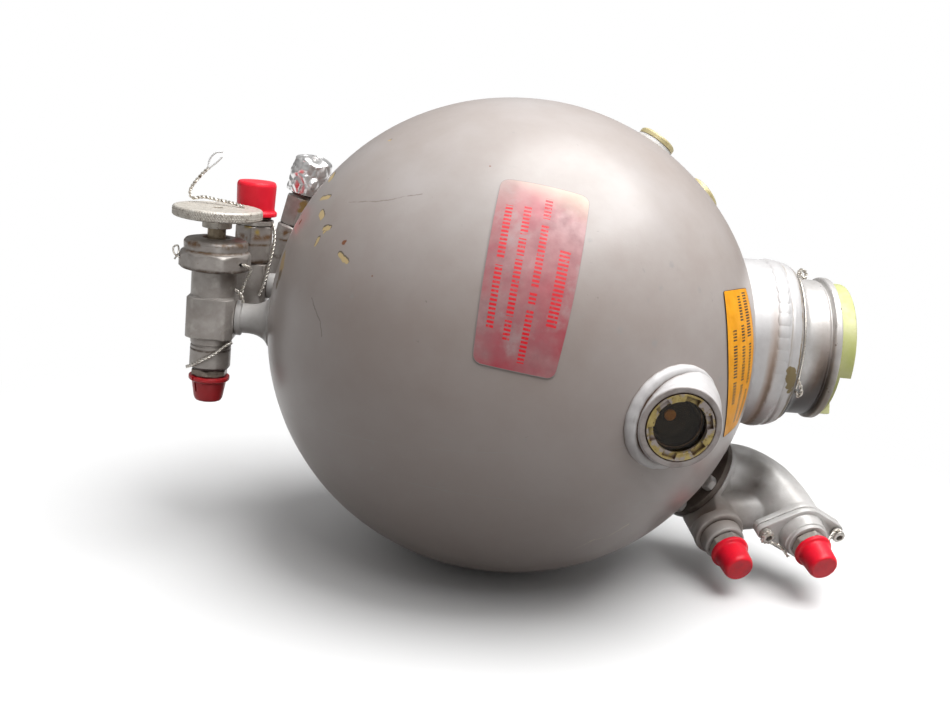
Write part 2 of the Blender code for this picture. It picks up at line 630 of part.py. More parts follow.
def build_outlet():
    """Tank flange, cast two-port manifold, its eared port plate, fittings and caps."""
    base = on_tank(OUTLET_DIRECTION)
    axis = frame("outlet_frame", base, OUTLET_DIRECTION, side=EAR_DIRECTION)
    low = OUTLET_STAND_OFF
    top = low + OUTLET_FLANGE
    flange = turned("outlet_flange", [
        (OUTLET_BORE, -0.012), (OUTLET_PIPE_RADIUS + 0.003, -0.012), (OUTLET_PIPE_RADIUS + 0.0022, 0.002),
        (OUTLET_PIPE_RADIUS, 0.0055), (OUTLET_PIPE_RADIUS, low), (OUTLET_FLANGE_RADIUS - 0.0004, low),
        (OUTLET_FLANGE_RADIUS, low + 0.0004), (OUTLET_FLANGE_RADIUS, top), (OUTLET_BORE, top)],
        PAINT, axis, MEDIUM_ROUND)
    seat_on_skin(flange)

    foot = top + SEAT_GAP
    casting = turned("outlet_manifold", [
        (0.0, foot), (OUTLET_FLANGE_RADIUS, foot), (OUTLET_FLANGE_RADIUS, foot + OUTLET_FLANGE - 0.0006),
        (OUTLET_FLANGE_RADIUS - 0.0006, foot + OUTLET_FLANGE), (DRUM_RADIUS + 0.0015, foot + OUTLET_FLANGE),
        (DRUM_RADIUS, foot + OUTLET_FLANGE + 0.0015), (DRUM_RADIUS - 0.0005, foot + DRUM_LENGTH - 0.008),
        (DRUM_RADIUS - 0.004, foot + DRUM_LENGTH - 0.002), (DRUM_RADIUS - 0.012, foot + DRUM_LENGTH),
        (0.0, foot + DRUM_LENGTH)], CAST, axis, MEDIUM_ROUND)

    middle = base + OUTLET_DIRECTION * (foot + OUTLET_FLANGE + 0.004)
    plate_back = PORT_A - PORT_AXIS * PORT_PLATE / 2
    rise = Vector((0.020, 0.002, 0.016))
    elbow = swept("elbow_guide", bezier(
        [middle + Vector((0.002, 0.0, 0.003)), middle + rise, plate_back - PORT_AXIS * 0.030, plate_back], 8),
        [ELBOW_RADIUS] * 6 + [ELBOW_RADIUS - 0.0010, ELBOW_RADIUS - 0.0022, ELBOW_RADIUS - 0.0035],
        CAST, CENTRE)
    drop = PORT_AXIS * WEB_DROP
    web = swept("web_guide", [PORT_B - drop, (PORT_A + PORT_B) / 2 - drop, PORT_A - drop], [WEB_RADIUS] * 3,
                CAST, CENTRE)
    port_a = frame("port_a_frame", PORT_A, PORT_AXIS, side=EAR_DIRECTION)
    port_b = frame("port_b_frame", PORT_B, PORT_AXIS, side=EAR_DIRECTION)
    outline = plate_outline(PORT_A_RADIUS + 0.004, EAR_RADIUS, EAR_SPACING)
    backing = prism("backing_plate_guide", outline, -PORT_PLATE, 0.0, CAST, port_a)
    lobe = turned("lobe_guide", [
        (0.0, -BRANCH_LENGTH), (BRANCH_RADIUS - 0.006, 0.001 - BRANCH_LENGTH),
        (BRANCH_RADIUS, 0.006 - BRANCH_LENGTH), (BRANCH_RADIUS, -0.0058),
        (PORT_B_RADIUS + 0.0015, -0.0050), (PORT_B_RADIUS + 0.0015, -0.0005),
        (PORT_B_RADIUS + 0.0010, 0.0), (0.0, 0.0)], CAST, port_b, MEDIUM_ROUND)
    room = drill("flange_room_guide", OUTLET_FLANGE_RADIUS + 0.0012, low - 0.020, foot + 0.0005,
                 axis, MEDIUM_ROUND)
    cut(elbow, room)
    cut(lobe, room)
    cut(web, room)
    join(casting, elbow, backing, lobe, web)

    plate = prism("port_plate", outline, SEAT_GAP, PORT_PLATE, CAST, port_a)
    boss = turned("port_boss_guide", [
        (0.0, PORT_PLATE - 0.001), (PORT_A_RADIUS, PORT_PLATE - 0.001), (PORT_A_RADIUS, PORT_A_BOSS - 0.0030),
        (PORT_A_RADIUS - 0.0010, PORT_A_BOSS - 0.0025), (PORT_A_RADIUS - 0.0010, PORT_A_BOSS), (0.0, PORT_A_BOSS)],
        CAST, port_a, MEDIUM_ROUND)
    join(plate, boss)
    shank = 0.0019
    for number, side in enumerate((-1, 1)):
        spot = (side * EAR_SPACING, 0.0)
        hole = drill(f"ear_hole_guide_{number}", shank + SEAT_GAP, -PORT_PLATE - 0.001, PORT_PLATE + 0.01,
                     port_a, HOLE_ROUND, spot)
        cut(plate, hole)
        cut(casting, hole)
    build_plate_screws(shank)
    build_outlet_bolts(axis, low, foot, flange, casting)

    port_fitting("port_a_fitting", port_a, PORT_A_BOSS + SEAT_GAP)
    nose = PORT_A_BOSS + SEAT_GAP + PORT_HEX_HEIGHT
    dust_cap("port_a_cap", port_a, nose + SEAT_GAP, PORT_THREAD, PORT_CAP_RADIUS, PORT_CAP_HEIGHT, PORT_CAP_END)
    turned("port_b_collar", [
        (0.0, SEAT_GAP), (PORT_B_RADIUS - 0.002, SEAT_GAP), (PORT_B_RADIUS - 0.002, PORT_B_BOSS - 0.001),
        (PORT_B_RADIUS - 0.003, PORT_B_BOSS), (0.0, PORT_B_BOSS)], CAST, port_b)
    port_fitting("port_b_fitting", port_b, PORT_B_BOSS + SEAT_GAP)
    nose = PORT_B_BOSS + SEAT_GAP + PORT_HEX_HEIGHT
    dust_cap("port_b_cap", port_b, nose + SEAT_GAP, PORT_THREAD, PORT_CAP_RADIUS, PORT_CAP_HEIGHT, PORT_CAP_END)


def build_plate_screws(shank):
    """Two socket screws through the port plate's ears."""
    low = PORT_PLATE + SEAT_GAP
    for number, side in enumerate((-1, 1), start=1):
        spot = frame(f"ear_frame_{number}", PORT_A + EAR_DIRECTION * side * EAR_SPACING, PORT_AXIS)
        screw = turned(f"port_screw_{number}", [
            (0.0, -0.0030), (shank, -0.0030), (shank, low), (0.0042, low), (0.0042, low + 0.0050),
            (0.0036, low + 0.0056), (0.0, low + 0.0056)], STEEL, spot, HOLE_ROUND)
        cut(screw, prism(f"socket_guide_{number}", polygon(6, 0.0036), low + 0.0030, low + 0.01, STEEL, spot))


def build_outlet_bolts(axis, low, foot, flange, casting):
    """Hexagon bolts whose heads sit on the tank's side of the flange."""
    top = low - SEAT_GAP
    for i in range(OUTLET_BOLTS):
        angle = math.tau * (i + 0.5) / OUTLET_BOLTS
        spot = (OUTLET_BOLT_CIRCLE * math.cos(angle), OUTLET_BOLT_CIRCLE * math.sin(angle))
        outline = [(spot[0] + x, spot[1] + y) for x, y in polygon(6, OUTLET_HEAD_RADIUS * 2)]
        bolt = prism(f"outlet_bolt_{i + 1}", outline, top - 0.0036, top, STEEL, axis)
        join(bolt, drill(f"shank_guide_{i}", OUTLET_BOLT_RADIUS, top - 0.001, foot + 0.0025, axis, HOLE_ROUND, spot))
        hole = drill(f"bolt_hole_guide_{i}", OUTLET_BOLT_RADIUS + SEAT_GAP, low - 0.002, foot + 0.0028,
                     axis, HOLE_ROUND, spot)
        cut(flange, hole)
        cut(casting, hole)


def build_vent_valve():
    """Screw-down vent valve: block body, octagonal bonnet, spindle, handwheel and poppet."""
    axis = frame("valve_axis", (VALVE_X, 0, VALVE_Z), (0, 0, 1))
    half = VALVE_BLOCK_HEIGHT / 2
    top = half + VALVE_TOP_HEIGHT
    bottom = -half - VALVE_LOW_HEIGHT
    corner = VALVE_BLOCK / 2
    chamfer = 0.0045
    square = []
    for sx, sy in ((1, 1), (-1, 1), (-1, -1), (1, -1)):
        pair = [(sx * corner, sy * (corner - chamfer)), (sx * (corner - chamfer), sy * corner)]
        square += pair if sx * sy > 0 else pair[::-1]
    body = prism("valve_body", square, -half, half, BARE, axis)
    bevel = body.modifiers.new("eased_edges", "BEVEL")
    bevel.width = 0.0008
    bevel.segments = 1
    bevel.limit_method = "ANGLE"
    join(body, turned("valve_column_guide", [
        (0.0, top), (VALVE_TOP_RADIUS - 0.0006, top), (VALVE_TOP_RADIUS, top - 0.0006),
        (VALVE_TOP_RADIUS, half - 0.001), (VALVE_LOW_RADIUS, -half + 0.001),
        (VALVE_LOW_RADIUS, bottom + 0.0165), (VALVE_LOW_RADIUS - 0.0009, bottom + 0.0158),
        (VALVE_LOW_RADIUS - 0.0009, bottom + 0.001), (VALVE_LOW_RADIUS - 0.0019, bottom), (0.0, bottom)],
        BARE, axis, MEDIUM_ROUND))
    seat = -half - 0.0010
    chamber = turned("valve_chamber_guide", [
        (0.0, top + 0.01), (VALVE_BORE, top + 0.01), (VALVE_BORE, seat + 0.004), (VALVE_OUTLET_BORE, seat),
        (VALVE_OUTLET_BORE, bottom - 0.01), (0.0, bottom - 0.01)], BARE, axis)
    side = frame("valve_side_port", (VALVE_X, 0, VALVE_Z), (1, 0, 0))
    cut(body, chamber, drill("side_port_guide", STUB_BORE, 0.0, 0.03, side))

    wall = skin_x(0.0, VALVE_Z)
    reach = -VALVE_X - corner - SEAT_GAP
    stub_axis = frame("stub_axis", (0, 0, VALVE_Z), (-1, 0, 0))
    stub = turned("vent_stub", [
        (STUB_BORE, wall - 0.012), (STUB_FLARE + 0.0015, wall - 0.012), (STUB_FLARE, wall + 0.0010),
        (STUB_RADIUS + 0.0010, wall + 0.0060), (STUB_RADIUS, wall + 0.0105), (STUB_RADIUS, reach),
        (STUB_BORE, reach)], PAINT, stub_axis)
    seat_on_skin(stub)

    low = top + SEAT_GAP
    shoulder = low + BONNET_HEIGHT
    crown = shoulder + BONNET_COLLAR_HEIGHT
    bonnet = prism("valve_bonnet", polygon(8, BONNET_FLATS), low, shoulder, BARE, axis)
    ease = bonnet.modifiers.new("eased_edges", "BEVEL")
    ease.width = 0.0014
    ease.segments = 1
    ease.limit_method = "ANGLE"
    ease.angle_limit = math.radians(60)
    join(bonnet, turned("bonnet_guide", [
        (0.0, crown), (BONNET_COLLAR_RADIUS - 0.0080, crown), (BONNET_COLLAR_RADIUS - 0.0012, crown - 0.0014),
        (BONNET_COLLAR_RADIUS, crown - 0.0030), (BONNET_COLLAR_RADIUS, shoulder - 0.001),
        (VALVE_BORE - SEAT_GAP, low + 0.001), (VALVE_BORE - SEAT_GAP, low - 0.010), (0.0, low - 0.010)],
        BARE, axis))
    cut(bonnet, drill("stem_bore_guide", STEM_RADIUS + STEM_CLEARANCE, low - 0.02, crown + 0.01, axis, SMALL_ROUND))

    poppet_low = seat + 0.0006
    poppet_top = poppet_low + POPPET_HEIGHT
    turned("valve_poppet", [
        (0.0, poppet_low), (VALVE_OUTLET_BORE - 0.0010, poppet_low), (POPPET_RADIUS, poppet_low + 0.0036),
        (POPPET_RADIUS, poppet_top), (0.0, poppet_top)], BARE, axis)

    wheel_low = crown + WHEEL_GAP + WHEEL_HUB_HEIGHT
    wheel_top = wheel_low + WHEEL_THICKNESS
    hub_low = wheel_low - WHEEL_HUB_HEIGHT
    stem = turned("valve_spindle", [
        (0.0, poppet_top + SEAT_GAP), (STEM_RADIUS - 0.0008, poppet_top + SEAT_GAP),
        (STEM_RADIUS, poppet_top + SEAT_GAP + 0.0008), (STEM_RADIUS, hub_low - SEAT_GAP),
        (SPINDLE_RADIUS, hub_low - SEAT_GAP), (SPINDLE_RADIUS, wheel_top - 0.0012), (0.0, wheel_top - 0.0012)],
        STEEL, axis)
    cut(stem, prism("spindle_slot_guide", [(-0.01, -0.0006), (0.01, -0.0006), (0.01, 0.0006), (-0.01, 0.0006)],
                    wheel_top - 0.0026, wheel_top + 0.01, STEEL, axis))
    build_handwheel(axis, hub_low, wheel_low, wheel_top)

    fitting_low = bottom - SEAT_GAP
    lower = frame("valve_outlet_axis", (VALVE_X, 0, VALVE_Z + fitting_low), (0, 0, -1))
    port_fitting("vent_fitting", lower, 0.0, thread=VENT_THREAD, hex_height=VENT_HEX_HEIGHT,
                 length=VENT_THREAD_LENGTH)
    dust_cap("vent_cap", lower, VENT_HEX_HEIGHT + SEAT_GAP, VENT_THREAD, VENT_CAP_RADIUS, VENT_CAP_HEIGHT,
             VENT_CAP_END)


def build_handwheel(axis, hub_low, wheel_low, wheel_top):
    """Round wheel with a rolled knurl on its crowned rim."""
    bore = SPINDLE_RADIUS + SEAT_GAP
    mid = (wheel_low + wheel_top) / 2
    crown = 0.0012
    rings = [(bore, wheel_top - 0.0008), (WHEEL_RADIUS - 0.0030, wheel_top - 0.0002),
             (WHEEL_RADIUS - 0.0008, wheel_top - crown), (WHEEL_RADIUS, mid),
             (WHEEL_RADIUS - 0.0008, wheel_low + crown), (WHEEL_RADIUS - 0.0040, wheel_low),
             (WHEEL_HUB_RADIUS, wheel_low), (WHEEL_HUB_RADIUS, hub_low), (bore, hub_low)]
    sides = WHEEL_KNURLS * 2
    bm = bmesh.new()
    made = []
    for radius, height in rings:
        knurled = radius > WHEEL_RADIUS - 0.0010
        ring = []
        for k in range(sides):
            reach = radius - (0.0006 if knurled and k % 2 else 0.0)
            angle = math.tau * k / sides
            ring.append(bm.verts.new((reach * math.cos(angle), reach * math.sin(angle), height)))
        made.append(ring)
    for ring, following in zip(made, made[1:] + made[:1]):
        for k in range(sides):
            bm.faces.new((ring[k - 1], ring[k], following[k], following[k - 1]))
    add_object("handwheel", bm, BARE, axis)


def build_pressure_fitting():
    """Elbow block on a welded stub, union adapter and its large dust cap."""
    x, y, z = PRESSURE_AT
    half = PRESSURE_BLOCK / 2
    stub_axis = frame("pressure_stub_axis", (0, y, z), (-1, 0, 0))
    wall = skin_x(y, z)
    reach = -x - half - SEAT_GAP
    stub = turned("pressure_stub", [
        (STUB_BORE, wall - 0.016), (SIDE_STUB_RADIUS + 0.0025, wall - 0.016),
        (SIDE_STUB_RADIUS + 0.0020, wall + 0.003), (SIDE_STUB_RADIUS, wall + 0.008),
        (SIDE_STUB_RADIUS, reach), (STUB_BORE, reach)], PAINT, stub_axis)
    seat_on_skin(stub)
    axis = frame("pressure_elbow_axis", PRESSURE_AT, (0, 0, 1))
    edge = 0.0025
    outline = [(half, half - edge), (half - edge, half), (-half + edge, half), (-half, half - edge),
               (-half, -half + edge), (-half + edge, -half), (half - edge, -half), (half, -half + edge)]
    block = prism("pressure_elbow", outline, PRESSURE_BLOCK_LOW, PRESSURE_BLOCK_TOP, CAST, axis)
    side = frame("pressure_side_axis", PRESSURE_AT, (1, 0, 0))
    cut(block, drill("pressure_up_guide", STUB_BORE, 0.0, 0.03, axis),
        drill("pressure_across_guide", STUB_BORE, 0.0, 0.03, side))
    low = PRESSURE_BLOCK_TOP + SEAT_GAP
    port_fitting("pressure_adapter", axis, low, thread=PRESSURE_THREAD, hexagon=PRESSURE_HEX,
                 hex_height=PRESSURE_HEX_HEIGHT, length=PRESSURE_THREAD_LENGTH, bore=0.0060)
    cap_low = low + PRESSURE_HEX_HEIGHT + PRESSURE_CAP_RISE
    dust_cap("pressure_cap", axis, cap_low, PRESSURE_THREAD, PRESSURE_CAP_RADIUS, PRESSURE_CAP_HEIGHT,
             PRESSURE_CAP_END)
    lower = cap_low - PRESSURE_CAP_RISE + SEAT_GAP
    turned("pressure_lock_ring", [
        (PRESSURE_THREAD + SEAT_GAP, lower), (LOCK_RING_RADIUS, lower),
        (LOCK_RING_RADIUS, lower + LOCK_RING_HEIGHT),
        (PRESSURE_THREAD + SEAT_GAP, lower + LOCK_RING_HEIGHT)], STEEL, axis)


def build_return_fitting():
    """Leaning elbow behind the pressure fitting, its union and the foil crushed over its end."""
    x, y, z = RETURN_AT
    stub_axis = frame("return_stub_axis", (0, y, z), (-1, 0, 0))
    wall = skin_x(y, z)
    reach = -x - RETURN_BODY_RADIUS + 0.0030
    stub = turned("return_stub", [
        (STUB_BORE, wall - 0.026), (SIDE_STUB_RADIUS + 0.0030, wall - 0.026),
        (SIDE_STUB_RADIUS + 0.0020, wall + 0.003), (SIDE_STUB_RADIUS, wall + 0.008),
        (SIDE_STUB_RADIUS, reach), (STUB_BORE, reach)], PAINT, stub_axis)
    seat_on_skin(stub)
    axis = frame("return_elbow_axis", RETURN_AT, RETURN_AXIS)
    body = turned("return_elbow", [
        (0.0, -0.0130), (RETURN_BODY_RADIUS - 0.002, -0.0130), (RETURN_BODY_RADIUS, -0.0110),
        (RETURN_BODY_RADIUS, RETURN_BODY_HEIGHT - 0.0015), (RETURN_BODY_RADIUS - 0.0015, RETURN_BODY_HEIGHT),
        (0.0, RETURN_BODY_HEIGHT)], CAST, axis)
    side = frame("return_side_axis", RETURN_AT, (1, 0, 0))
    cut(body, drill("return_socket_guide", SIDE_STUB_RADIUS + SEAT_GAP, RETURN_BODY_RADIUS - 0.0030 - SEAT_GAP,
                    0.04, side, SMALL_ROUND),
        drill("return_across_guide", STUB_BORE, 0.0, 0.03, side),
        drill("return_up_guide", STUB_BORE, 0.0, 0.06, axis))
    low = RETURN_BODY_HEIGHT + SEAT_GAP
    port_fitting("return_union", axis, low, thread=RETURN_THREAD, hexagon=RETURN_HEX,
                 hex_height=RETURN_HEX_HEIGHT, length=RETURN_THREAD_LENGTH)
    foil_low = low + RETURN_HEX_HEIGHT + 0.0030
    build_foil(axis, foil_low)


def build_foil(axis, low):
    """Foil pressed by hand over the open union: a lumpy cup whose folds run down its side."""
    inner = RETURN_THREAD + 2 * SEAT_GAP
    sides = 20
    rows = ((0.00, 0.78), (0.16, 0.90), (0.32, 0.82), (0.50, 0.98), (0.72, 0.95), (0.90, 0.90), (1.00, 0.62))
    bm = bmesh.new()
    made = [[bm.verts.new((inner * math.cos(math.tau * k / sides), inner * math.sin(math.tau * k / sides),
                           low + 0.018)) for k in range(sides)],
            [bm.verts.new((inner * math.cos(math.tau * k / sides), inner * math.sin(math.tau * k / sides),
                           low)) for k in range(sides)]]
    for row, (part, share) in enumerate(rows):
        ring = []
        for k in range(sides):
            angle = math.tau * k / sides
            fold = 0.05 * math.sin(5 * angle + row) + 0.04 * math.sin(3 * angle - 1.7 * row)
            radius = FOIL_RADIUS * (share + fold)
            ring.append(bm.verts.new((radius * math.cos(angle), radius * math.sin(angle),
                                      low + FOIL_HEIGHT * part + 0.0012 * math.sin(4 * angle) * part)))
        made.append(ring)
    for ring, following in zip(made, made[1:]):
        for k in range(sides):
            bm.faces.new((ring[k - 1], ring[k], following[k], following[k - 1]))
    for ring in (made[0], made[-1]):
        middle = sum((v.co for v in ring), Vector()) / sides
        hub = bm.verts.new(middle)
        for k in range(sides):
            bm.faces.new((ring[k - 1], ring[k], hub))
    add_object("foil_wrap", bm, FOIL, axis)


def build_internals():
    """Retention element on the outlet, vent standpipe and return diffuser."""
    rim = ELEMENT_RADIUS + 0.001
    lean = OUTLET_DIRECTION.angle(skin_normal(OUTLET_DIRECTION))
    depth = TANK_WALL + ELEMENT_STAND_OFF + rim * math.sin(lean)
    base = on_tank(OUTLET_DIRECTION) - OUTLET_DIRECTION * depth
    axis = frame("element_axis", base, -OUTLET_DIRECTION)
    tube = OUTLET_BORE - SEAT_GAP
    bore = tube + SEAT_GAP
    foot = ELEMENT_CAP + SEAT_GAP
    end = foot + ELEMENT_LENGTH
    turned("element_base", [(bore, 0.0), (rim, 0.0), (rim, ELEMENT_CAP), (bore, ELEMENT_CAP)], STEEL, axis)
    pleats = []
    for i in range(ELEMENT_PLEATS * 2):
        radius = ELEMENT_RADIUS if i % 2 else ELEMENT_RADIUS - ELEMENT_PLEAT_DEPTH
        angle = math.tau * i / (ELEMENT_PLEATS * 2)
        pleats.append((radius * math.cos(angle), radius * math.sin(angle)))
    pack = prism("element_pleats", pleats, foot, end, PAPER, axis)
    cut(pack, drill("pleat_bore_guide", bore, foot - 0.01, end + 0.01, axis, SMALL_ROUND))
    turned("element_tube", [
        (tube - ELEMENT_TUBE_WALL, -ELEMENT_SPIGOT), (tube, -ELEMENT_SPIGOT), (tube, end),
        (tube - ELEMENT_TUBE_WALL, end)], STEEL, axis)
    low = end + SEAT_GAP
    top = low + ELEMENT_CAP
    turned("element_cap", [
        (0.0, low), (rim, low), (rim, top), (0.008, top), (0.007, top + 0.004), (0.0, top + 0.004)],
        STEEL, axis)

    wall = skin_x(0.0, VALVE_Z) - TANK_WALL
    end = Vector((-wall - STANDPIPE_SPIGOT, 0.0, VALVE_Z))
    start = Vector((-wall + 0.006, 0.0, VALVE_Z))
    knee = Vector((-wall + 0.024, 0.0, VALVE_Z))
    lift = Vector((-wall + 0.036, 0.0, STANDPIPE_TOP * 0.466))
    top = Vector((-TANK_HALF_LENGTH * 0.45, 0.0, STANDPIPE_TOP))
    path = [end] + bezier([start, knee, lift, top], 8)
    swept("vent_standpipe", path, [STANDPIPE_RADIUS] * len(path), STEEL, CENTRE, HOLE_ROUND)
    y, z = RETURN_AT.y, RETURN_AT.z
    wall = skin_x(y, z) - TANK_WALL
    diffuser = frame("diffuser_axis", (0, y, z), (-1, 0, 0))
    far = wall - DIFFUSER_STAND_OFF
    near = far - DIFFUSER_LENGTH
    turned("return_diffuser", [
        (0.0, near), (DIFFUSER_RADIUS, near), (DIFFUSER_RADIUS, far), (STANDPIPE_RADIUS, far),
        (STANDPIPE_RADIUS, wall + 0.004), (0.0030, wall + 0.004), (0.0030, near + 0.0015),
        (0.0, near + 0.0015)], STEEL, diffuser)


build_tank()
build_rear_pad()
build_filler()
build_sight_glass()
build_small_ports()
build_outlet()
build_vent_valve()
build_pressure_fitting()
build_return_fitting()
build_internals()
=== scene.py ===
"""Hydraulic reservoir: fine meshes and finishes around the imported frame, laid out as a Blender add-on."""

import math

import bmesh
import bpy
from mathutils import Matrix, Vector, noise


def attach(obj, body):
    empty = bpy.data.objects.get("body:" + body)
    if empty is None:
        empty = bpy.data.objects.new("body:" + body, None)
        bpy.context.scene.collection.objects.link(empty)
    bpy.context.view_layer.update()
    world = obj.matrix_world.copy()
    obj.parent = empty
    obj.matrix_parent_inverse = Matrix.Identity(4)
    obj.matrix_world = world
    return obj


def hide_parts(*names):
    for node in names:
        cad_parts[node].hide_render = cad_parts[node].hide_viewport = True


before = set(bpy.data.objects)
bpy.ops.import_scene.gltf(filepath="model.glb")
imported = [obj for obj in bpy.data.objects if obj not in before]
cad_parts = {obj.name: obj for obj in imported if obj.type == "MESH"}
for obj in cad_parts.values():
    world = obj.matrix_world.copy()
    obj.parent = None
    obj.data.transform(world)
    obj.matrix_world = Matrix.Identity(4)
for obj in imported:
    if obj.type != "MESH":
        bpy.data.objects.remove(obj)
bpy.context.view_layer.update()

bl_info = {
    "name": "Hydraulic reservoir",
    "version": (1, 0, 0),
    "blender": (4, 5, 0),
    "location": "View3D > Sidebar > Reservoir",
    "description": "Builds a welded hydraulic reservoir with its valve, filler, sight glass and outlet",
    "category": "Add Mesh",
}

# Places, in metres. Points are measured from the tank's centre, as in the part's source.
CENTRE = Vector((0.0, -0.160, 0.0))
HALF_LENGTH = 0.1555
RADIUS = 0.151
WALL = 0.0026
NECK_HEIGHT = 0.0115
NECK_END = 0.1740
FOOT = NECK_END + 0.0003
FACE = FOOT + 0.0266
SIGHT_FACE = Vector((0.0839, -0.1424, -0.0109))
SIGHT_AXIS = Vector((0.09, -0.99, -0.05)).normalized()
OUTLET = Vector((0.8273, 0.1728, -0.5345)).normalized()
PORT_AXIS = Vector((0.2165, -0.9215, -0.3224)).normalized()
PORT_A = Vector((0.2063, -0.0100, -0.1105))
PORT_B = Vector((0.1530, -0.0150, -0.1184))
EAR_LEAN = Vector((1.0, 0.23, 0.0))
EAR_LINE = (EAR_LEAN - EAR_LEAN.dot(PORT_AXIS) * PORT_AXIS).normalized()
EAR_AT = 0.0265
VALVE = Vector((-0.192, 0.0, 0.0))
PRESSURE = Vector((-0.1752, 0.0450, 0.0090))
RETURN = Vector((-0.1585, 0.0780, 0.0180))
RETURN_AXIS = Vector((0.21, 0.0, 0.978)).normalized()
HEXAGON = 6
OCTAGON = 8
FINE = 96
THREAD_DEPTH = 0.0009
STEPS_PER_TWIST = 10.0
STROKE_SHARE = 0.58
BEAD_SIDES = 16
BEAD_STEPS = 8
SENSOR_MM = 36.0
FOCAL_PIXELS = 1150.0
PICTURE_PIXELS = 950.0
ALONG = (1.0, 0.0, 0.0)
UPRIGHT = (0.0, 0.0, 1.0)
DOWN = (0.0, 0.0, -1.0)


# Mesh tools

def place(origin, axis, side=(1.0, 0.0, 0.0)):
    """Matrix of a frame at a point from the tank's centre, its Z along the axis and its X near the side."""
    up = Vector(axis).normalized()
    across = Vector(side) - Vector(side).dot(up) * up
    if across.length < 0.001:
        across = Vector((0.0, 1.0, 0.0)) - up.y * up
    across.normalize()
    turn = Matrix((across, up.cross(across), up)).transposed().to_4x4()
    return Matrix.Translation(CENTRE + Vector(origin)) @ turn


NECK_HOME = place((0.0, 0.0, NECK_HEIGHT), ALONG, UPRIGHT)
SIGHT_HOME = place(SIGHT_FACE, SIGHT_AXIS)
VALVE_HOME = place(VALVE, UPRIGHT)
VENT_HOME = place(VALVE + Vector((0.0, 0.0, -0.03955)), DOWN)
PRESSURE_HOME = place(PRESSURE, UPRIGHT)
RETURN_HOME = place(RETURN, RETURN_AXIS)
PORT_A_HOME = place(PORT_A, PORT_AXIS, EAR_LINE)
PORT_B_HOME = place(PORT_B, PORT_AXIS, EAR_LINE)


def on_tank(direction):
    """Point of the outer skin in a direction from the tank's centre."""
    d = Vector(direction).normalized()
    return d / math.sqrt((d.x / HALF_LENGTH) ** 2 + (d.y ** 2 + d.z ** 2) / RADIUS ** 2)


def skin_x(y, z):
    """Distance along X from the centre plane to the outer skin."""
    return HALF_LENGTH * math.sqrt(1.0 - (y * y + z * z) / RADIUS ** 2)


def show(name, mesh, sharp=32.0):
    """Object at the origin with smooth faces and sharp edges past an angle."""
    mesh.shade_smooth()
    mesh.set_sharp_from_angle(angle=math.radians(sharp))
    piece = bpy.data.objects.new(name, mesh)
    bpy.context.scene.collection.objects.link(piece)
    return piece


def keep(name, bm, home, coat, sharp=32.0):
    """Close a bmesh, put its place into its mesh and show it."""
    bmesh.ops.remove_doubles(bm, verts=bm.verts, dist=1e-6)
    bmesh.ops.recalc_face_normals(bm, faces=bm.faces)
    bm.transform(home)
    mesh = bpy.data.meshes.new(name)
    bm.to_mesh(mesh)
    bm.free()
    mesh.materials.append(coat)
    return show(name, mesh, sharp)


def baked(piece, sharp=32.0, home=None):
    """Turn a piece with modifiers into a plain mesh in its place."""
    graph = bpy.context.evaluated_depsgraph_get()
    mesh = bpy.data.meshes.new_from_object(piece.evaluated_get(graph))
    name = piece.name
    discard(piece)
    if home is not None:
        mesh.transform(home)
    mesh.name = name
    return show(name, mesh, sharp)


def discard(*pieces):
    """Remove helper pieces and their meshes."""
    for piece in pieces:
        mesh = piece.data
        bpy.data.objects.remove(piece)
        if mesh.users == 0:
            bpy.data.meshes.remove(mesh)


def eased(outline, radius, closed):
    """Round each corner, and add a support point beside each round so that flats shade flat."""
    points = [Vector(p[:2]) for p in outline]
    own = [p[2] if len(p) > 2 else radius for p in outline]
    count = len(points)
    rounded = []
    for i, here in enumerate(points):
        if own[i] == 0 or (not closed and i in (0, count - 1)):
            rounded.append(here)
            continue
        back = points[i - 1] - here
        ahead = points[(i + 1) % count] - here
        reach = min(own[i], back.length * 0.42, ahead.length * 0.42)
        if back.angle(ahead) > math.radians(170):
            rounded.append(here)
            continue
        start = here + back.normalized() * reach
        stop = here + ahead.normalized() * reach
        for t in (0.0, 0.25, 0.5, 0.75, 1.0):
            rounded.append(start * (1 - t) ** 2 + here * 2 * t * (1 - t) + stop * t ** 2)
    result = []
    last = len(rounded) if closed else len(rounded) - 1
    for i in range(last):
        here, after = rounded[i], rounded[(i + 1) % len(rounded)]
        result.append(here)
        gap = after - here
        if radius > 0 and gap.length > radius * 5:
            result.append(here + gap.normalized() * radius * 0.7)
            result.append(after - gap.normalized() * radius * 0.7)
    if not closed:
        result.append(rounded[-1])
    return result


def turned(name, outline, home, coat, segments=FINE, ease=0.0005, shape=None, sharp=32.0):
    """Turned piece from (radius, height) points; a shape may change the radius with the angle."""
    solid = outline[0][0] == 0.0 and outline[-1][0] == 0.0
    bm = bmesh.new()
    rings = []
    for radius, height in eased(outline, ease, not solid):
        if radius < 1e-7:
            rings.append([bm.verts.new((0.0, 0.0, height))])
            continue
        ring = []
        for k in range(segments):
            turn = math.tau * k / segments
            reach = shape(turn, radius, height) if shape else radius
            ring.append(bm.verts.new((reach * math.cos(turn), reach * math.sin(turn), height)))
        rings.append(ring)
    pairs = list(zip(rings, rings[1:]))
    if not solid:
        pairs.append((rings[-1], rings[0]))
    for low, high in pairs:
        for k in range(segments):
            if len(low) == 1:
                bm.faces.new((low[0], high[k - 1], high[k]))
            elif len(high) == 1:
                bm.faces.new((low[k - 1], low[k], high[0]))
            else:
                bm.faces.new((low[k - 1], low[k], high[k], high[k - 1]))
    return keep(name, bm, home, coat, sharp)


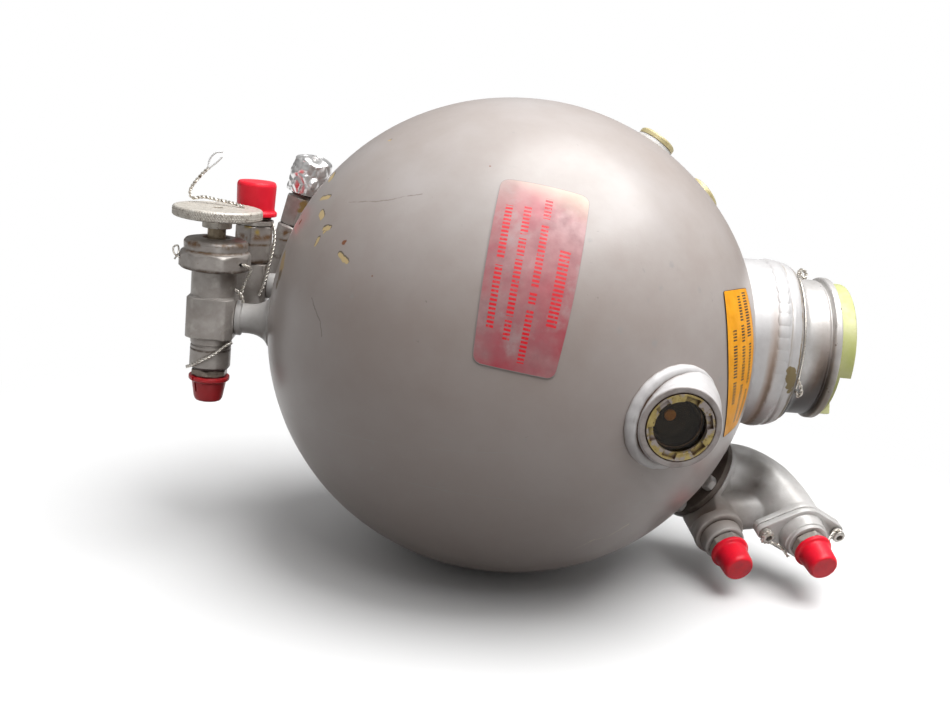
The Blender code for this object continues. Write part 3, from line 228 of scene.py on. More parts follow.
def flats(sides, across, low=-1.0, high=1.0):
    """Shape of a bar with flat sides between two heights, its corners slightly broken."""
    step = math.tau / sides
    corner = across / 2 / math.cos(step / 2) * 0.985

    def limit(turn, radius, height):
        if not low <= height <= high:
            return radius
        lean = (turn + step / 2) % step - step / 2
        return min(radius, corner, across / 2 / math.cos(lean))
    return limit


def rod(name, radius, low, high, home, coat, segments=64, ease=0.0, shape=None):
    """Plain solid bar between two heights."""
    return turned(name, [(0.0, low), (radius, low), (radius, high), (0.0, high)],
                  home, coat, segments, ease, shape)


def box(left, right, front, back):
    """Outline of a rectangle."""
    return [(left, front), (right, front), (right, back), (left, back)]


def cut_square(half, cut):
    """Outline of a square with cut corners."""
    return [(half, half - cut), (half - cut, half), (cut - half, half), (-half, half - cut),
            (-half, cut - half), (cut - half, -half), (half - cut, -half), (half, cut - half)]


def slab(name, outline, low, high, home, coat, ease=0.0006, steps=3, sharp=32.0):
    """Flat piece from an outline, its edges rounded by a Bevel modifier."""
    bm = bmesh.new()
    ring = [bm.verts.new((x, y, low)) for x, y in outline]
    face = bm.faces.new(ring)
    lifted = bmesh.ops.extrude_face_region(bm, geom=[face])
    verts = [v for v in lifted["geom"] if isinstance(v, bmesh.types.BMVert)]
    bmesh.ops.translate(bm, verts=verts, vec=(0.0, 0.0, high - low))
    piece = keep(name, bm, Matrix.Identity(4), coat, sharp)
    if ease > 0:
        edge = piece.modifiers.new("eased_edges", "BEVEL")
        edge.width = ease
        edge.segments = steps
        edge.limit_method = "ANGLE"
        edge.angle_limit = math.radians(30)
        edge.harden_normals = True
    return baked(piece, sharp, home)


def combine(piece, *others, operation="DIFFERENCE", sharp=32.0):
    """Exact Boolean with helper pieces, which are then discarded."""
    for other in others:
        step = piece.modifiers.new("combine", "BOOLEAN")
        step.operation = operation
        step.object = other
        step.solver = "EXACT"
        step.use_self = operation == "UNION"
    whole = baked(piece, sharp)
    discard(*others)
    return whole


def merge(piece, *others, sharp=32.0):
    """Add other pieces' meshes to a piece."""
    bm = bmesh.new()
    bm.from_mesh(piece.data)
    for other in others:
        bm.from_mesh(other.data)
    bm.to_mesh(piece.data)
    bm.free()
    piece.data.shade_smooth()
    piece.data.set_sharp_from_angle(angle=math.radians(sharp))
    discard(*others)
    return piece


def curve_through(points, steps=8):
    """Smooth path through a few points."""
    nodes = [Vector(p) for p in points]
    nodes = [2 * nodes[0] - nodes[1]] + nodes + [2 * nodes[-1] - nodes[-2]]
    path = []
    for a, b, c, d in zip(nodes, nodes[1:], nodes[2:], nodes[3:]):
        for i in range(steps):
            t = i / steps
            path.append(0.5 * (2 * b + (c - a) * t + (2 * a - 5 * b + 4 * c - d) * t * t
                               + (3 * b - a - 3 * c + d) * t ** 3))
    path.append(nodes[-2])
    return path


def swept(name, path, radii, home, coat, sides=12, sharp=32.0):
    """Round bar along a path, with one radius or one for each point."""
    if isinstance(radii, float):
        radii = [radii] * len(path)
    bm = bmesh.new()
    rings = []
    side = Vector((0.13, 0.21, 0.97))
    for i, point in enumerate(path):
        ahead = (path[min(i + 1, len(path) - 1)] - path[max(i - 1, 0)]).normalized()
        side = (side - side.dot(ahead) * ahead).normalized()
        other = ahead.cross(side)
        ring = []
        for k in range(sides):
            turn = math.tau * k / sides
            ring.append(bm.verts.new(point + radii[i] * (math.cos(turn) * side + math.sin(turn) * other)))
        rings.append(ring)
    for ring, after in zip(rings, rings[1:]):
        for k in range(sides):
            bm.faces.new((ring[k - 1], ring[k], after[k], after[k - 1]))
    bm.faces.new(rings[0])
    bm.faces.new(rings[-1])
    return keep(name, bm, home, coat, sharp)


def fit(piece, body, slot, *nodes):
    """The piece rides on its body and stands for its CAD nodes; its slot is not used."""
    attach(piece, body)
    if nodes:
        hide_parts(*nodes)
    return piece


# Node tools

def hex_colour(text):
    """Linear colour of an sRGB hex value."""
    parts = [int(text[i:i + 2], 16) / 255 for i in (0, 2, 4)]
    return tuple(p / 12.92 if p <= 0.04045 else ((p + 0.055) / 1.055) ** 2.4 for p in parts) + (1.0,)


def linear(tone):
    """Linear colour from an sRGB hex value, or from a colour setting, which is linear already."""
    return hex_colour(tone) if isinstance(tone, str) else (*tone, 1.0)


def add_node(tree, kind, links=None, **settings):
    """Add a node, with its settings, and fill its inputs with values or other nodes' outputs."""
    made = tree.nodes.new(kind)
    for label, value in settings.items():
        setattr(made, label, value)
    for key, value in (links or {}).items():
        if isinstance(value, bpy.types.NodeSocket):
            tree.links.new(value, made.inputs[key])
        else:
            made.inputs[key].default_value = value
    return made


def maths(tree, operation, *values):
    """Output of a Math node on numbers and sockets."""
    return add_node(tree, "ShaderNodeMath", dict(enumerate(values)), operation=operation).outputs[0]


def vectors(tree, operation, *values, output="Vector"):
    """Output of a Vector Math node on vectors and sockets."""
    node = add_node(tree, "ShaderNodeVectorMath", dict(enumerate(values)), operation=operation)
    return node.outputs[output]


def scaled(tree, vector, factor):
    """A vector times a number."""
    return add_node(tree, "ShaderNodeVectorMath", {0: vector, "Scale": factor}, operation="SCALE").outputs[0]


def ranged(tree, value, low, high, to_low=0.0, to_high=1.0, **settings):
    """A value brought from one range to another, and kept inside it."""
    return add_node(tree, "ShaderNodeMapRange", {
        "Value": value, "From Min": low, "From Max": high, "To Min": to_low, "To Max": to_high},
        **settings).outputs[0]


def blend(tree, mask, under, over):
    """A number that changes to another where the mask holds."""
    return add_node(tree, "ShaderNodeMix", {0: mask, 2: under, 3: over}).outputs[0]


def blend_colour(tree, mask, under, over):
    """A colour that changes to another where the mask holds."""
    return add_node(tree, "ShaderNodeMix", {0: mask, 6: under, 7: over}, data_type="RGBA").outputs[2]


def gather(tree, operation, values):
    """Fold several values into one with a Math node between each two."""
    whole = values[0]
    for value in values[1:]:
        whole = maths(tree, operation, value, whole)
    return whole


def new_material(name):
    """Empty node material and its tree."""
    material = bpy.data.materials.new(name)
    material.use_nodes = True
    material.node_tree.nodes.clear()
    return material, material.node_tree


def new_tree(name, inputs):
    """Geometry Nodes tree with a geometry output and named inputs."""
    tree = bpy.data.node_groups.new(name, "GeometryNodeTree")
    tree.interface.new_socket("Geometry", in_out="OUTPUT", socket_type="NodeSocketGeometry")
    tree.interface.new_socket("Geometry", in_out="INPUT", socket_type="NodeSocketGeometry")
    for label, kind, value in inputs:
        socket = tree.interface.new_socket(label, in_out="INPUT", socket_type="NodeSocket" + kind)
        if value is not None:
            socket.default_value = value
    return tree, tree.nodes.new("NodeGroupInput")


def grown(name, tree, home, values, start=None, sharp=32.0):
    """Run a Geometry Nodes tree with its inputs set, and keep the result as a plain mesh."""
    mesh = start or bpy.data.meshes.new(name)
    piece = bpy.data.objects.new(name, mesh)
    bpy.context.scene.collection.objects.link(piece)
    step = piece.modifiers.new("grown", "NODES")
    step.node_group = tree
    for item in tree.interface.items_tree:
        if item.in_out == "INPUT" and item.name in values:
            step[item.identifier] = values[item.name]
    bpy.context.view_layer.update()
    return baked(piece, sharp, home)


def send_out(tree, given, geometry):
    """Make instances real, coat them with the given finish and send them out of the tree."""
    real = add_node(tree, "GeometryNodeRealizeInstances", {0: geometry})
    coated = add_node(tree, "GeometryNodeSetMaterial",
                      {"Geometry": real.outputs[0], "Material": given.outputs["Finish"]})
    add_node(tree, "NodeGroupOutput", {0: coated.outputs[0]})
    return tree


def ring_tree():
    """Copies of one shape round a circle, each turned outwards, with a little change in size."""
    tree, given = new_tree("Ring of shapes", [
        ("Shape", "Object", None), ("Count", "Int", 6), ("Radius", "Float", 0.05),
        ("Size change", "Float", 0.0), ("Seed", "Int", 3), ("Finish", "Material", None)])
    circle = add_node(tree, "GeometryNodeMeshCircle",
                      {"Vertices": given.outputs["Count"], "Radius": given.outputs["Radius"]})
    shape = add_node(tree, "GeometryNodeObjectInfo", {"Object": given.outputs["Shape"]})
    index = add_node(tree, "GeometryNodeInputIndex")
    step = maths(tree, "DIVIDE", math.tau, given.outputs["Count"])
    turn = maths(tree, "MULTIPLY", index.outputs[0], step)
    facing = add_node(tree, "ShaderNodeCombineXYZ", {"Z": turn})
    rotation = add_node(tree, "FunctionNodeEulerToRotation", {0: facing.outputs[0]})
    low = maths(tree, "SUBTRACT", 1.0, given.outputs["Size change"])
    high = maths(tree, "ADD", 1.0, given.outputs["Size change"])
    size = add_node(tree, "FunctionNodeRandomValue", {2: low, 3: high, "Seed": given.outputs["Seed"]},
                    data_type="FLOAT")
    copies = add_node(tree, "GeometryNodeInstanceOnPoints", {
        "Points": circle.outputs[0], "Instance": shape.outputs["Geometry"],
        "Rotation": rotation.outputs[0], "Scale": size.outputs[1]})
    return send_out(tree, given, copies.outputs[0])


def stack_tree():
    """Copies of one shape one above another, as the turns of a thread."""
    tree, given = new_tree("Stack of shapes", [
        ("Shape", "Object", None), ("Count", "Int", 8), ("Pitch", "Float", 0.0016),
        ("Finish", "Material", None)])
    step = add_node(tree, "ShaderNodeCombineXYZ", {"Z": given.outputs["Pitch"]})
    line_up = add_node(tree, "GeometryNodeMeshLine",
                       {"Count": given.outputs["Count"], "Offset": step.outputs[0]})
    shape = add_node(tree, "GeometryNodeObjectInfo", {"Object": given.outputs["Shape"]})
    copies = add_node(tree, "GeometryNodeInstanceOnPoints",
                      {"Points": line_up.outputs[0], "Instance": shape.outputs["Geometry"]})
    return send_out(tree, given, copies.outputs[0])


def twist_tree():
    """Two wires twisted round each other along a path of edges."""
    tree, given = new_tree("Twisted pair", [
        ("Pitch", "Float", 0.0034), ("Wire", "Float", 0.00042), ("Finish", "Material", None)])
    path = add_node(tree, "GeometryNodeMeshToCurve", {0: given.outputs["Geometry"]})
    step = maths(tree, "DIVIDE", given.outputs["Pitch"], STEPS_PER_TWIST)
    fine = add_node(tree, "GeometryNodeResampleCurve", {"Curve": path.outputs[0], "Length": step},
                    mode="LENGTH")
    along = add_node(tree, "GeometryNodeSplineParameter")
    turns = maths(tree, "DIVIDE", along.outputs["Length"], given.outputs["Pitch"])
    angle = maths(tree, "MULTIPLY", turns, math.tau)
    tangent = add_node(tree, "GeometryNodeInputTangent").outputs[0]
    side = vectors(tree, "NORMALIZE", vectors(tree, "CROSS_PRODUCT", tangent, (0.31, 0.52, 0.79)))
    profile = add_node(tree, "GeometryNodeCurvePrimitiveCircle",
                       {"Resolution": 7, "Radius": given.outputs["Wire"]})
    pair = add_node(tree, "GeometryNodeJoinGeometry")
    for phase in (0.0, math.pi):
        shifted = maths(tree, "ADD", angle, phase)
        spin = add_node(tree, "ShaderNodeVectorRotate", {"Vector": side, "Axis": tangent, "Angle": shifted},
                        rotation_type="AXIS_ANGLE")
        strand = add_node(tree, "GeometryNodeSetPosition", {
            "Geometry": fine.outputs[0], "Offset": scaled(tree, spin.outputs[0], given.outputs["Wire"])})
        tube = add_node(tree, "GeometryNodeCurveToMesh", {
            "Curve": strand.outputs[0], "Profile Curve": profile.outputs[0], "Fill Caps": True})
        tree.links.new(tube.outputs[0], pair.inputs[0])
    return send_out(tree, given, pair.outputs[0])


def skin_tree():
    """Closed spheroid about the X axis whose skin is very slightly uneven, as on spun sheet."""
    tree, given = new_tree("Spun skin", [
        ("Half length", "Float", HALF_LENGTH), ("Radius", "Float", RADIUS),
        ("Unevenness", "Float", 0.0002), ("Finish", "Material", None)])
    ball = add_node(tree, "GeometryNodeMeshUVSphere", {"Segments": 176, "Rings": 110, "Radius": 1.0})
    form = add_node(tree, "ShaderNodeCombineXYZ", {
        "X": given.outputs["Half length"], "Y": given.outputs["Radius"], "Z": given.outputs["Radius"]})
    spot = add_node(tree, "GeometryNodeInputPosition").outputs[0]
    spread = vectors(tree, "MULTIPLY", spot, form.outputs[0])
    dents = add_node(tree, "ShaderNodeTexNoise", {"Vector": spot, "W": 4.0, "Scale": 2.6, "Detail": 2.0},
                     noise_dimensions="4D")
    drop = maths(tree, "SUBTRACT", dents.outputs[0], 0.6)
    drop = maths(tree, "MULTIPLY", drop, given.outputs["Unevenness"])
    whole = vectors(tree, "ADD", spread, scaled(tree, spot, drop))
    skin = add_node(tree, "GeometryNodeSetPosition", {"Geometry": ball.outputs["Mesh"], "Position": whole})
    return send_out(tree, given, skin.outputs[0])


# Masks. Each is a function of a tree and a point, and gives 1 where it holds and 0 elsewhere.

def cloud(size_mm, low, high, seed=0.0, detail=5.0, stretch=None):
    """Mask of soft patches about one size across."""
    def mask(tree, spot):
        if stretch:
            spot = add_node(tree, "ShaderNodeMapping", {"Vector": spot, "Scale": stretch}).outputs[0]
        field = add_node(tree, "ShaderNodeTexNoise", {
            "Vector": spot, "W": seed, "Scale": 1000.0 / size_mm, "Detail": detail, "Roughness": 0.6},
            noise_dimensions="4D")
        return ranged(tree, field.outputs[0], low, high)
    return mask


def crevice(reach_mm, low=0.25, high=0.75):
    """Mask of inner corners, where dirt gathers."""
    def mask(tree, _):
        shade = add_node(tree, "ShaderNodeAmbientOcclusion", {"Distance": reach_mm / 1000}, samples=6)
        return ranged(tree, shade.outputs["AO"], high, low)
    return mask


def both(first, second):
    """Where two masks hold together."""
    def mask(tree, spot):
        return maths(tree, "MULTIPLY", first(tree, spot), second(tree, spot))
    return mask


def ragged(tree, spot, size_mm, amount_mm):
    """The same point pushed about by a small noise, so that an edge isn't clean."""
    field = add_node(tree, "ShaderNodeTexNoise", {"Vector": spot, "Scale": 1000.0 / size_mm, "Detail": 3.0})
    middle = vectors(tree, "SUBTRACT", field.outputs[1], (0.5, 0.5, 0.5))
    return vectors(tree, "ADD", spot, scaled(tree, middle, amount_mm / 500))


def spots(points, rough_mm=3.0, amount_mm=1.6, soft_mm=0.25):
    """Mask of round marks: points from the tank's centre in millimetres, each with its radius."""
    def mask(tree, spot):
        moved = ragged(tree, spot, rough_mm, amount_mm)
        depths = []
        for x, y, z, radius in points:
            away = vectors(tree, "DISTANCE", moved, CENTRE + Vector((x, y, z)) / 1000, output="Value")
            depths.append(maths(tree, "SUBTRACT", away, radius / 1000))
        return ranged(tree, gather(tree, "MINIMUM", depths), soft_mm / 1000, -soft_mm / 1000)
    return mask


def line(normal, at_mm, width_mm, amount_mm=0.5):
    """Mask of the line where a plane cuts the surface, as a weld line under paint."""
    def mask(tree, spot):
        axis = Vector(normal).normalized()
        height = vectors(tree, "DOT_PRODUCT", ragged(tree, spot, 6.0, amount_mm), axis, output="Value")
        off = maths(tree, "SUBTRACT", height, at_mm / 1000 + axis.dot(CENTRE))
        return ranged(tree, maths(tree, "ABSOLUTE", off), width_mm / 1000, width_mm / 4000)
    return mask


def beyond(normal, at_mm, soft_mm):
    """Mask of what lies past a plane, with a soft edge."""
    def mask(tree, spot):
        axis = Vector(normal).normalized()
        height = vectors(tree, "DOT_PRODUCT", spot, axis, output="Value")
        level = at_mm / 1000 + axis.dot(CENTRE)
        return ranged(tree, height, level - soft_mm / 1000, level + soft_mm / 1000)
    return mask


def segment_gap(tree, spot, start, stop):
    """Distance to the straight line between two points from the tank's centre, in millimetres."""
    way = (Vector(stop) - Vector(start)) / 1000
    rel = vectors(tree, "SUBTRACT", spot, CENTRE + Vector(start) / 1000)
    along = vectors(tree, "DOT_PRODUCT", rel, way / way.length_squared, output="Value")
    share = add_node(tree, "ShaderNodeClamp", {0: along}).outputs[0]
    return vectors(tree, "DISTANCE", rel, scaled(tree, way, share), output="Value")


def stroke(points, width_mm):
    """Mask of a scratch through points from the tank's centre, in millimetres."""
    def mask(tree, spot):
        moved = ragged(tree, spot, 5.0, 1.0)
        gaps = [segment_gap(tree, moved, start, stop) for start, stop in zip(points, points[1:])]
        return ranged(tree, gather(tree, "MINIMUM", gaps), width_mm / 1000, width_mm / 3000)
    return mask


def flakes(chips, rise_mm=0.0, wider_mm=0.0, soft_mm=0.25):
    """Mask of long ragged chips: two ends from the tank's centre and a half width, in millimetres."""
    def mask(tree, spot):
        moved = ragged(tree, spot, 3.0, 1.3)
        rise = Vector((0.0, 0.0, rise_mm))
        depths = []
        for start, stop, half in chips:
            gap = segment_gap(tree, moved, Vector(start) + rise, Vector(stop) + rise)
            depths.append(maths(tree, "SUBTRACT", gap, (half + wider_mm) / 1000))
        return ranged(tree, gather(tree, "MINIMUM", depths), soft_mm / 1000, -soft_mm / 1000)
    return mask


# Finishes

def finish(name, tones, cloud_mm, rough, metallic=0.0, grain_mm=0.8, grain_depth_mm=0.02, dent_mm=0.0,
           layers=(), constants=None):
    """Material with two clouded tones, a fine grain in relief, and layers of dirt or wear over them."""
    material, tree = new_material(name)
    spot = add_node(tree, "ShaderNodeTexCoord").outputs["Object"]
    shade = cloud(cloud_mm, 0.36, 0.64)(tree, spot)
    colour = blend_colour(tree, shade, linear(tones[0]), linear(tones[1]))
    roughness = ranged(tree, shade, 0.0, 1.0, rough * 0.9, min(rough * 1.12, 1.0))
    metal = metallic
    for mask_of, tone, layer_rough, layer_metal in layers:
        mask = mask_of(tree, spot)
        colour = blend_colour(tree, mask, colour, linear(tone))
        roughness = blend(tree, mask, roughness, layer_rough)
        if layer_metal != metallic or not isinstance(metal, float):
            metal = blend(tree, mask, metal, layer_metal)
    grain = add_node(tree, "ShaderNodeTexNoise", {
        "Vector": spot, "Scale": 1000.0 / grain_mm, "Detail": 3.0, "Roughness": 0.6})
    relief = add_node(tree, "ShaderNodeBump", {
        "Height": grain.outputs[0], "Strength": 1.0, "Distance": grain_depth_mm / 1000}).outputs[0]
    if dent_mm > 0:
        waves = add_node(tree, "ShaderNodeTexNoise", {
            "Vector": spot, "Scale": 1000.0 / (grain_mm * 9), "Detail": 2.0})
        relief = add_node(tree, "ShaderNodeBump", {
            "Height": waves.outputs[0], "Strength": 1.0, "Distance": dent_mm / 1000,
            "Normal": relief}).outputs[0]
    shader = add_node(tree, "ShaderNodeBsdfPrincipled", {
        "Base Color": colour, "Roughness": roughness, "Metallic": metal, "Normal": relief,
        **(constants or {})})
    add_node(tree, "ShaderNodeOutputMaterial", {0: shader.outputs[0]})
    return material


# Marks on the tank, from its centre in millimetres
CHIPS = [((-124.6, -40.9, 80.5), (-119.5, -49.6, 83.0), 1.45),
         ((-122.9, -55.7, 73.8), (-121.9, -59.7, 72.3), 2.2),
         ((-119.3, -69.9, 66.9), (-116.1, -74.0, 68.1), 1.45),
         ((-119.5, -71.9, 64.7), (-118.5, -72.6, 65.7), 0.8),
         ((-121.9, -71.1, 61.2), (-123.5, -72.0, 56.9), 1.1),
         ((-107.9, -92.9, 56.6), (-103.1, -99.5, 53.6), 1.35),
         ((-120.9, -18.6, 93.1), (-121.3, -25.2, 91.2), 2.5),
         ((-88.0, -38.2, 118.5), (-87.2, -39.4, 118.7), 0.8),
         ((-47.5, -60.0, 128.0), (-46.6, -60.9, 127.9), 0.7)]
PATCH = [(-146.2, -29.9, 42.0, 3.8), (-146.1, -33.8, 39.3, 5.0), (-145.6, -38.3, 36.1, 4.6)]
PATCH_FOOT = [(-146.1, -39.7, 31.7, 4.0), (-146.5, -39.0, 26.5, 3.2)]
RUST = [(-137.1, -30.8, 64.3, 1.9), (-138.2, -18.2, 66.8, 1.1), (-106.3, -90.4, 63.0, 1.5),
        (-105.2, -90.9, 64.0, 0.9), (-88.1, -114.0, 49.9, 0.5), (-30.0, -95.0, 113.0, 0.6),
        (61.3, -138.3, -11.5, 1.2)]
SMUDGES = [(65.4, -133.2, 32.0, 1.9), (44.6, -139.4, 38.5, 1.4), (67.1, -123.0, 60.2, 1.4),
           (60.3, -129.2, 54.2, 1.0), (73.0, -112.4, 71.7, 1.4), (91.7, -106.9, 58.7, 1.3),
           (4.4, -98.0, -114.8, 0.9), (36.8, -62.7, -132.6, 0.8), (-98.1, -111.1, 37.4, 1.0),
           (25.1, -124.3, 82.2, 0.9)]
SCRATCHES = [[(-106.3, -71.6, 83.8), (-98.5, -79.9, 85.3), (-90.5, -86.4, 87.2), (-82.7, -91.5, 89.3),
              (-75.2, -94.7, 92.2), (-65.5, -98.8, 94.8)],
             [(-121.8, -89.0, 29.8), (-118.9, -94.1, 24.7), (-115.1, -99.7, 18.8), (-113.5, -102.5, 11.6)],
             [(-88.0, -114.0, 46.0), (-84.0, -118.0, 38.0)]]
PALE_SCRATCH = [(41.5, -106.7, -100.8), (52.4, -109.4, -92.4), (59.2, -106.5, -91.8), (71.1, -107.4, -81.6)]


def tank_paint():
    """Semi-gloss grey enamel sprayed on spun aluminium: even, faintly warm, chipped to a tan primer, and
    darker towards the lower left as painted shade.
    """
    thin = 0.4
    return finish("grey_enamel_on_spun_aluminium", (colours().tank, "A0958F"), 80.0, 0.34, grain_mm=1.3,
                  grain_depth_mm=0.03, dent_mm=0.02, constants={"Coat Weight": 0.14, "Coat Roughness": 0.25},
                  layers=(
        # Painted shade: the enamel darkens towards the lower left, away from the light.
        (beyond((-0.25, -0.55, -0.8), 95.0, 110.0), "8C7E78", 0.38, 0.0),
        (both(cloud(160.0, 0.48, 0.75, 5.0), cloud(34.0, 0.42, 0.78, 2.0)), "A29B97", 0.40, 0.0),
        (both(line((-0.110, -0.004, 0.994), -30.3, thin), cloud(40.0, 0.44, 0.62, 3.0)), "9A9591", 0.45, 0.0),
        (both(line((0.023, 0.057, 0.998), -69.4, thin), cloud(46.0, 0.44, 0.62, 6.0)), "96918D", 0.45, 0.0),
        (both(line((0.195, 0.200, 0.960), 10.8, thin), cloud(30.0, 0.50, 0.66, 8.0)), "9E9995", 0.45, 0.0),
        (both(cloud(9.0, 0.66, 0.74, 11.0, 3.0), cloud(60.0, 0.46, 0.62, 16.0)), "98938F", 0.45, 0.0),
        (both(cloud(4.0, 0.72, 0.76, 12.0, 2.0), cloud(44.0, 0.48, 0.60, 17.0)), "857E79", 0.5, 0.0),
        (both(cloud(7.0, 0.66, 0.74, 14.0, 3.0, (1.0, 1.0, 0.12)), cloud(50.0, 0.5, 0.62, 15.0)),
         "938E8A", 0.45, 0.0),
        (spots(SMUDGES, 2.0, 1.4, 1.0), "9B9693", 0.45, 0.0),
        (stroke(SCRATCHES[0], 0.55), "8A817A", 0.5, 0.0),
        (stroke(SCRATCHES[1], 0.55), "7F7873", 0.5, 0.0),
        (stroke(SCRATCHES[2], 0.45), "7F7873", 0.5, 0.0),
        (stroke(PALE_SCRATCH, 1.2), "BBAF9E", 0.6, 0.0),
        (flakes(CHIPS, 0.5, 0.35), "5E5346", 0.6, 0.0),
        (flakes(CHIPS), "C8B080", 0.6, 0.0),
        (spots(PATCH, 4.0, 2.0, 0.6), "B39A72", 0.6, 0.0),
        (spots(PATCH_FOOT, 4.0, 2.0, 0.8), "6B5A46", 0.6, 0.0),
        (spots(RUST, 2.0, 0.8), "7C4A2E", 0.7, 0.0)))


def fitting_paint():
    """The same enamel over welded fittings, whiter where it catches dust, with dirt in the corners."""
    return finish("grey_enamel_on_welded_fittings", ("BDBBB9", "AAA7A4"), 16.0, 0.40, grain_mm=0.9,
                  grain_depth_mm=0.05, dent_mm=0.12, layers=(
        (cloud(7.0, 0.68, 0.76, 4.0), "8B8274", 0.5, 0.0),
        (both(crevice(3.0), cloud(9.0, 0.35, 0.62, 2.0)), "6B5C4C", 0.6, 0.0)))


def sight_paint():
    """Enamel on the sight glass's boss: pale on its side, greyer and stained on its face."""
    face = beyond(SIGHT_AXIS, 149.4, 0.3)
    return finish(
        "pale_enamel_on_sight_boss", ("CDCBCB", "BDBABA"), 14.0, 0.36, 0.0, 0.9, 0.05, 0.10, layers=(
        (face, "A39B98", 0.45, 0.0),
        (both(face, cloud(7.0, 0.46, 0.62, 5.0)), "8F8682", 0.45, 0.0),
        (cloud(3.0, 0.68, 0.74, 3.0), "9C8C76", 0.5, 0.0),
        (both(crevice(2.2, 0.35, 0.98), cloud(5.0, 0.22, 0.46, 7.0)), "573C24", 0.6, 0.0)))


def brass():
    """Brass plug seen at the back of the sight glass."""
    return finish("brass_plug_face", ("E2AC52", "B98536"), 4.0, 0.5, 0.0, 0.8, 0.008)


def stained_and_shaded_flange():
    """Tank's outlet flange, browned by fluid that has dried on it and darkened as painted shade of the gap
    under the casting.
    """
    # Painted shade: both tones are darker for the shaded gap between tank and casting, over the fluid stain.
    return finish("fluid_stained_flange", ("736860", "5A5048"), 12.0, 0.45, 0.1, 0.9, 0.04)


def bolt_paint():
    """Grey paint over the outlet's bolt heads, dirty at their roots."""
    return finish("painted_bolt_heads", ("CFCCC9", "B7B3AF"), 4.0, 0.42, 0.1, 0.6, 0.03, layers=(
        (both(crevice(1.5), cloud(3.0, 0.35, 0.6, 7.0)), "5C4C3C", 0.6, 0.0),))


def neck_paint():
    """Aluminium-silver paint on the filler neck: brighter than the tank, brown in the weld's lee, with
    painted shade on its underside.
    """
    return finish(
        "silver_paint_on_neck", (colours().neck, "BBB9B9"), 20.0, 0.38, 0.20, 0.9, 0.05, 0.10, layers=(
        # Painted shade: the paint darkens towards the neck's underside.
        (beyond((0.0, 0.25, -1.0), 22.0, 26.0), "958D88", 0.45, 0.1),
        (both(line(ALONG, 155.8, 3.6, 0.8), beyond(DOWN, -30.0, 26.0)),
         "B09E92", 0.5, 0.1),
        (both(line(ALONG, 156.6, 1.6, 0.8), beyond(DOWN, -14.0, 24.0)),
         "8E7A6A", 0.5, 0.0),
        (both(line(ALONG, 166.4, 0.6, 0.7), cloud(16.0, 0.42, 0.60, 3.0)), "A9A29B", 0.5, 0.0),
        (both(line(ALONG, 173.2, 0.9, 0.6), cloud(14.0, 0.30, 0.55, 4.0)), "7C6A50", 0.6, 0.0),
        (both(line(ALONG, 172.6, 1.5, 0.8), beyond(DOWN, 6.0, 12.0)), "6E604A", 0.6, 0.0),
        (cloud(5.0, 0.70, 0.76, 5.0), "A3998A", 0.5, 0.0),
        (spots([(168.6, -52.0, 6.0, 3.4), (169.6, -52.0, 1.5, 4.0), (170.6, -51.2, -3.5, 3.2),
                (171.4, -50.2, -7.5, 2.2)], 4.0, 1.6), "8B7C58", 0.6, 0.0),
        (both(crevice(2.5), cloud(7.0, 0.35, 0.6, 7.0)), "6B5C4C", 0.6, 0.0)))


def adapter_metal():
    """Machined aluminium with fine turning, its groove black-brown with old fluid, its underside darkened as
    painted shade.
    """
    return finish("machined_aluminium_stained", ("C8C5C3", "B6B3B0"), 9.0, 0.38, 0.40, 0.5, 0.012, layers=(
        (both(line(ALONG, 191.0, 9.0, 1.2), beyond((0.0, -0.3, -1.0), -8.0, 22.0)), "7A6352", 0.5, 0.1),
        (both(line(ALONG, 193.6, 6.6, 1.6), beyond((0.0, -0.3, -1.0), 3.0, 12.0)), "241A14", 0.5, 0.0),
        (both(line(ALONG, 188.4, 13.0, 2.0), beyond((0.0, -0.1, -1.0), 8.0, 12.0)), "3A2D24", 0.5, 0.0),
        # Painted shade: the lower inner part goes near black and the lower outer face darkens.
        (both(beyond(DOWN, 10.0, 8.0), beyond((-1.0, 0.0, 0.0), -195.5, 1.0)), "181310", 0.5, 0.0),
        (both(beyond(DOWN, 4.0, 18.0), beyond(ALONG, 195.8, 0.6)), "8B8378", 0.5, 0.1),
        (both(cloud(3.5, 0.62, 0.70, 6.0), beyond(ALONG, 191.0, 2.0)), "57493C", 0.5, 0.1)))


def cap_coat():
    """Yellow-green chromate on the filler cap, thin at its corners."""
    return finish("chromate_on_filler_cap", (colours().cap, "B6BB74"), 12.0, 0.46, 0.1, 0.6, 0.02, layers=(
        (cloud(6.0, 0.60, 0.72, 3.0), "A9A65F", 0.5, 0.1),
        (cloud(2.5, 0.70, 0.75, 4.0), "6F6140", 0.5, 0.1),
        (both(crevice(2.5), cloud(8.0, 0.3, 0.6, 7.0)), "8A7D4A", 0.6, 0.1)))


def gold_chromate():
    """Gold chromate on machined steel, rubbed to silver on some faces and brown in the joints."""
    return finish("gold_chromate_on_steel", ("A8965C", "877442"), 5.0, 0.40, 0.45, 0.6, 0.03, layers=(
        (cloud(6.0, 0.49, 0.55, 4.0, 3.0), "8F8682", 0.38, 0.6),
        (cloud(2.2, 0.58, 0.64, 5.0), "6B5630", 0.5, 0.2),
        (both(crevice(2.4, 0.45, 1.0), cloud(4.0, 0.22, 0.46, 7.0)), "47301B", 0.6, 0.0)))


def port_chromate():
    """Pale gold chromate on the two small ports' plugs."""
    return finish("pale_gold_chromate", ("D3C89A", "BFB184"), 6.0, 0.42, 0.35, 0.6, 0.02, layers=(
        (cloud(4.0, 0.60, 0.70, 4.0), "9F9270", 0.5, 0.2),
        (both(crevice(2.0), cloud(5.0, 0.3, 0.6, 7.0)), "5C4A34", 0.6, 0.1)))


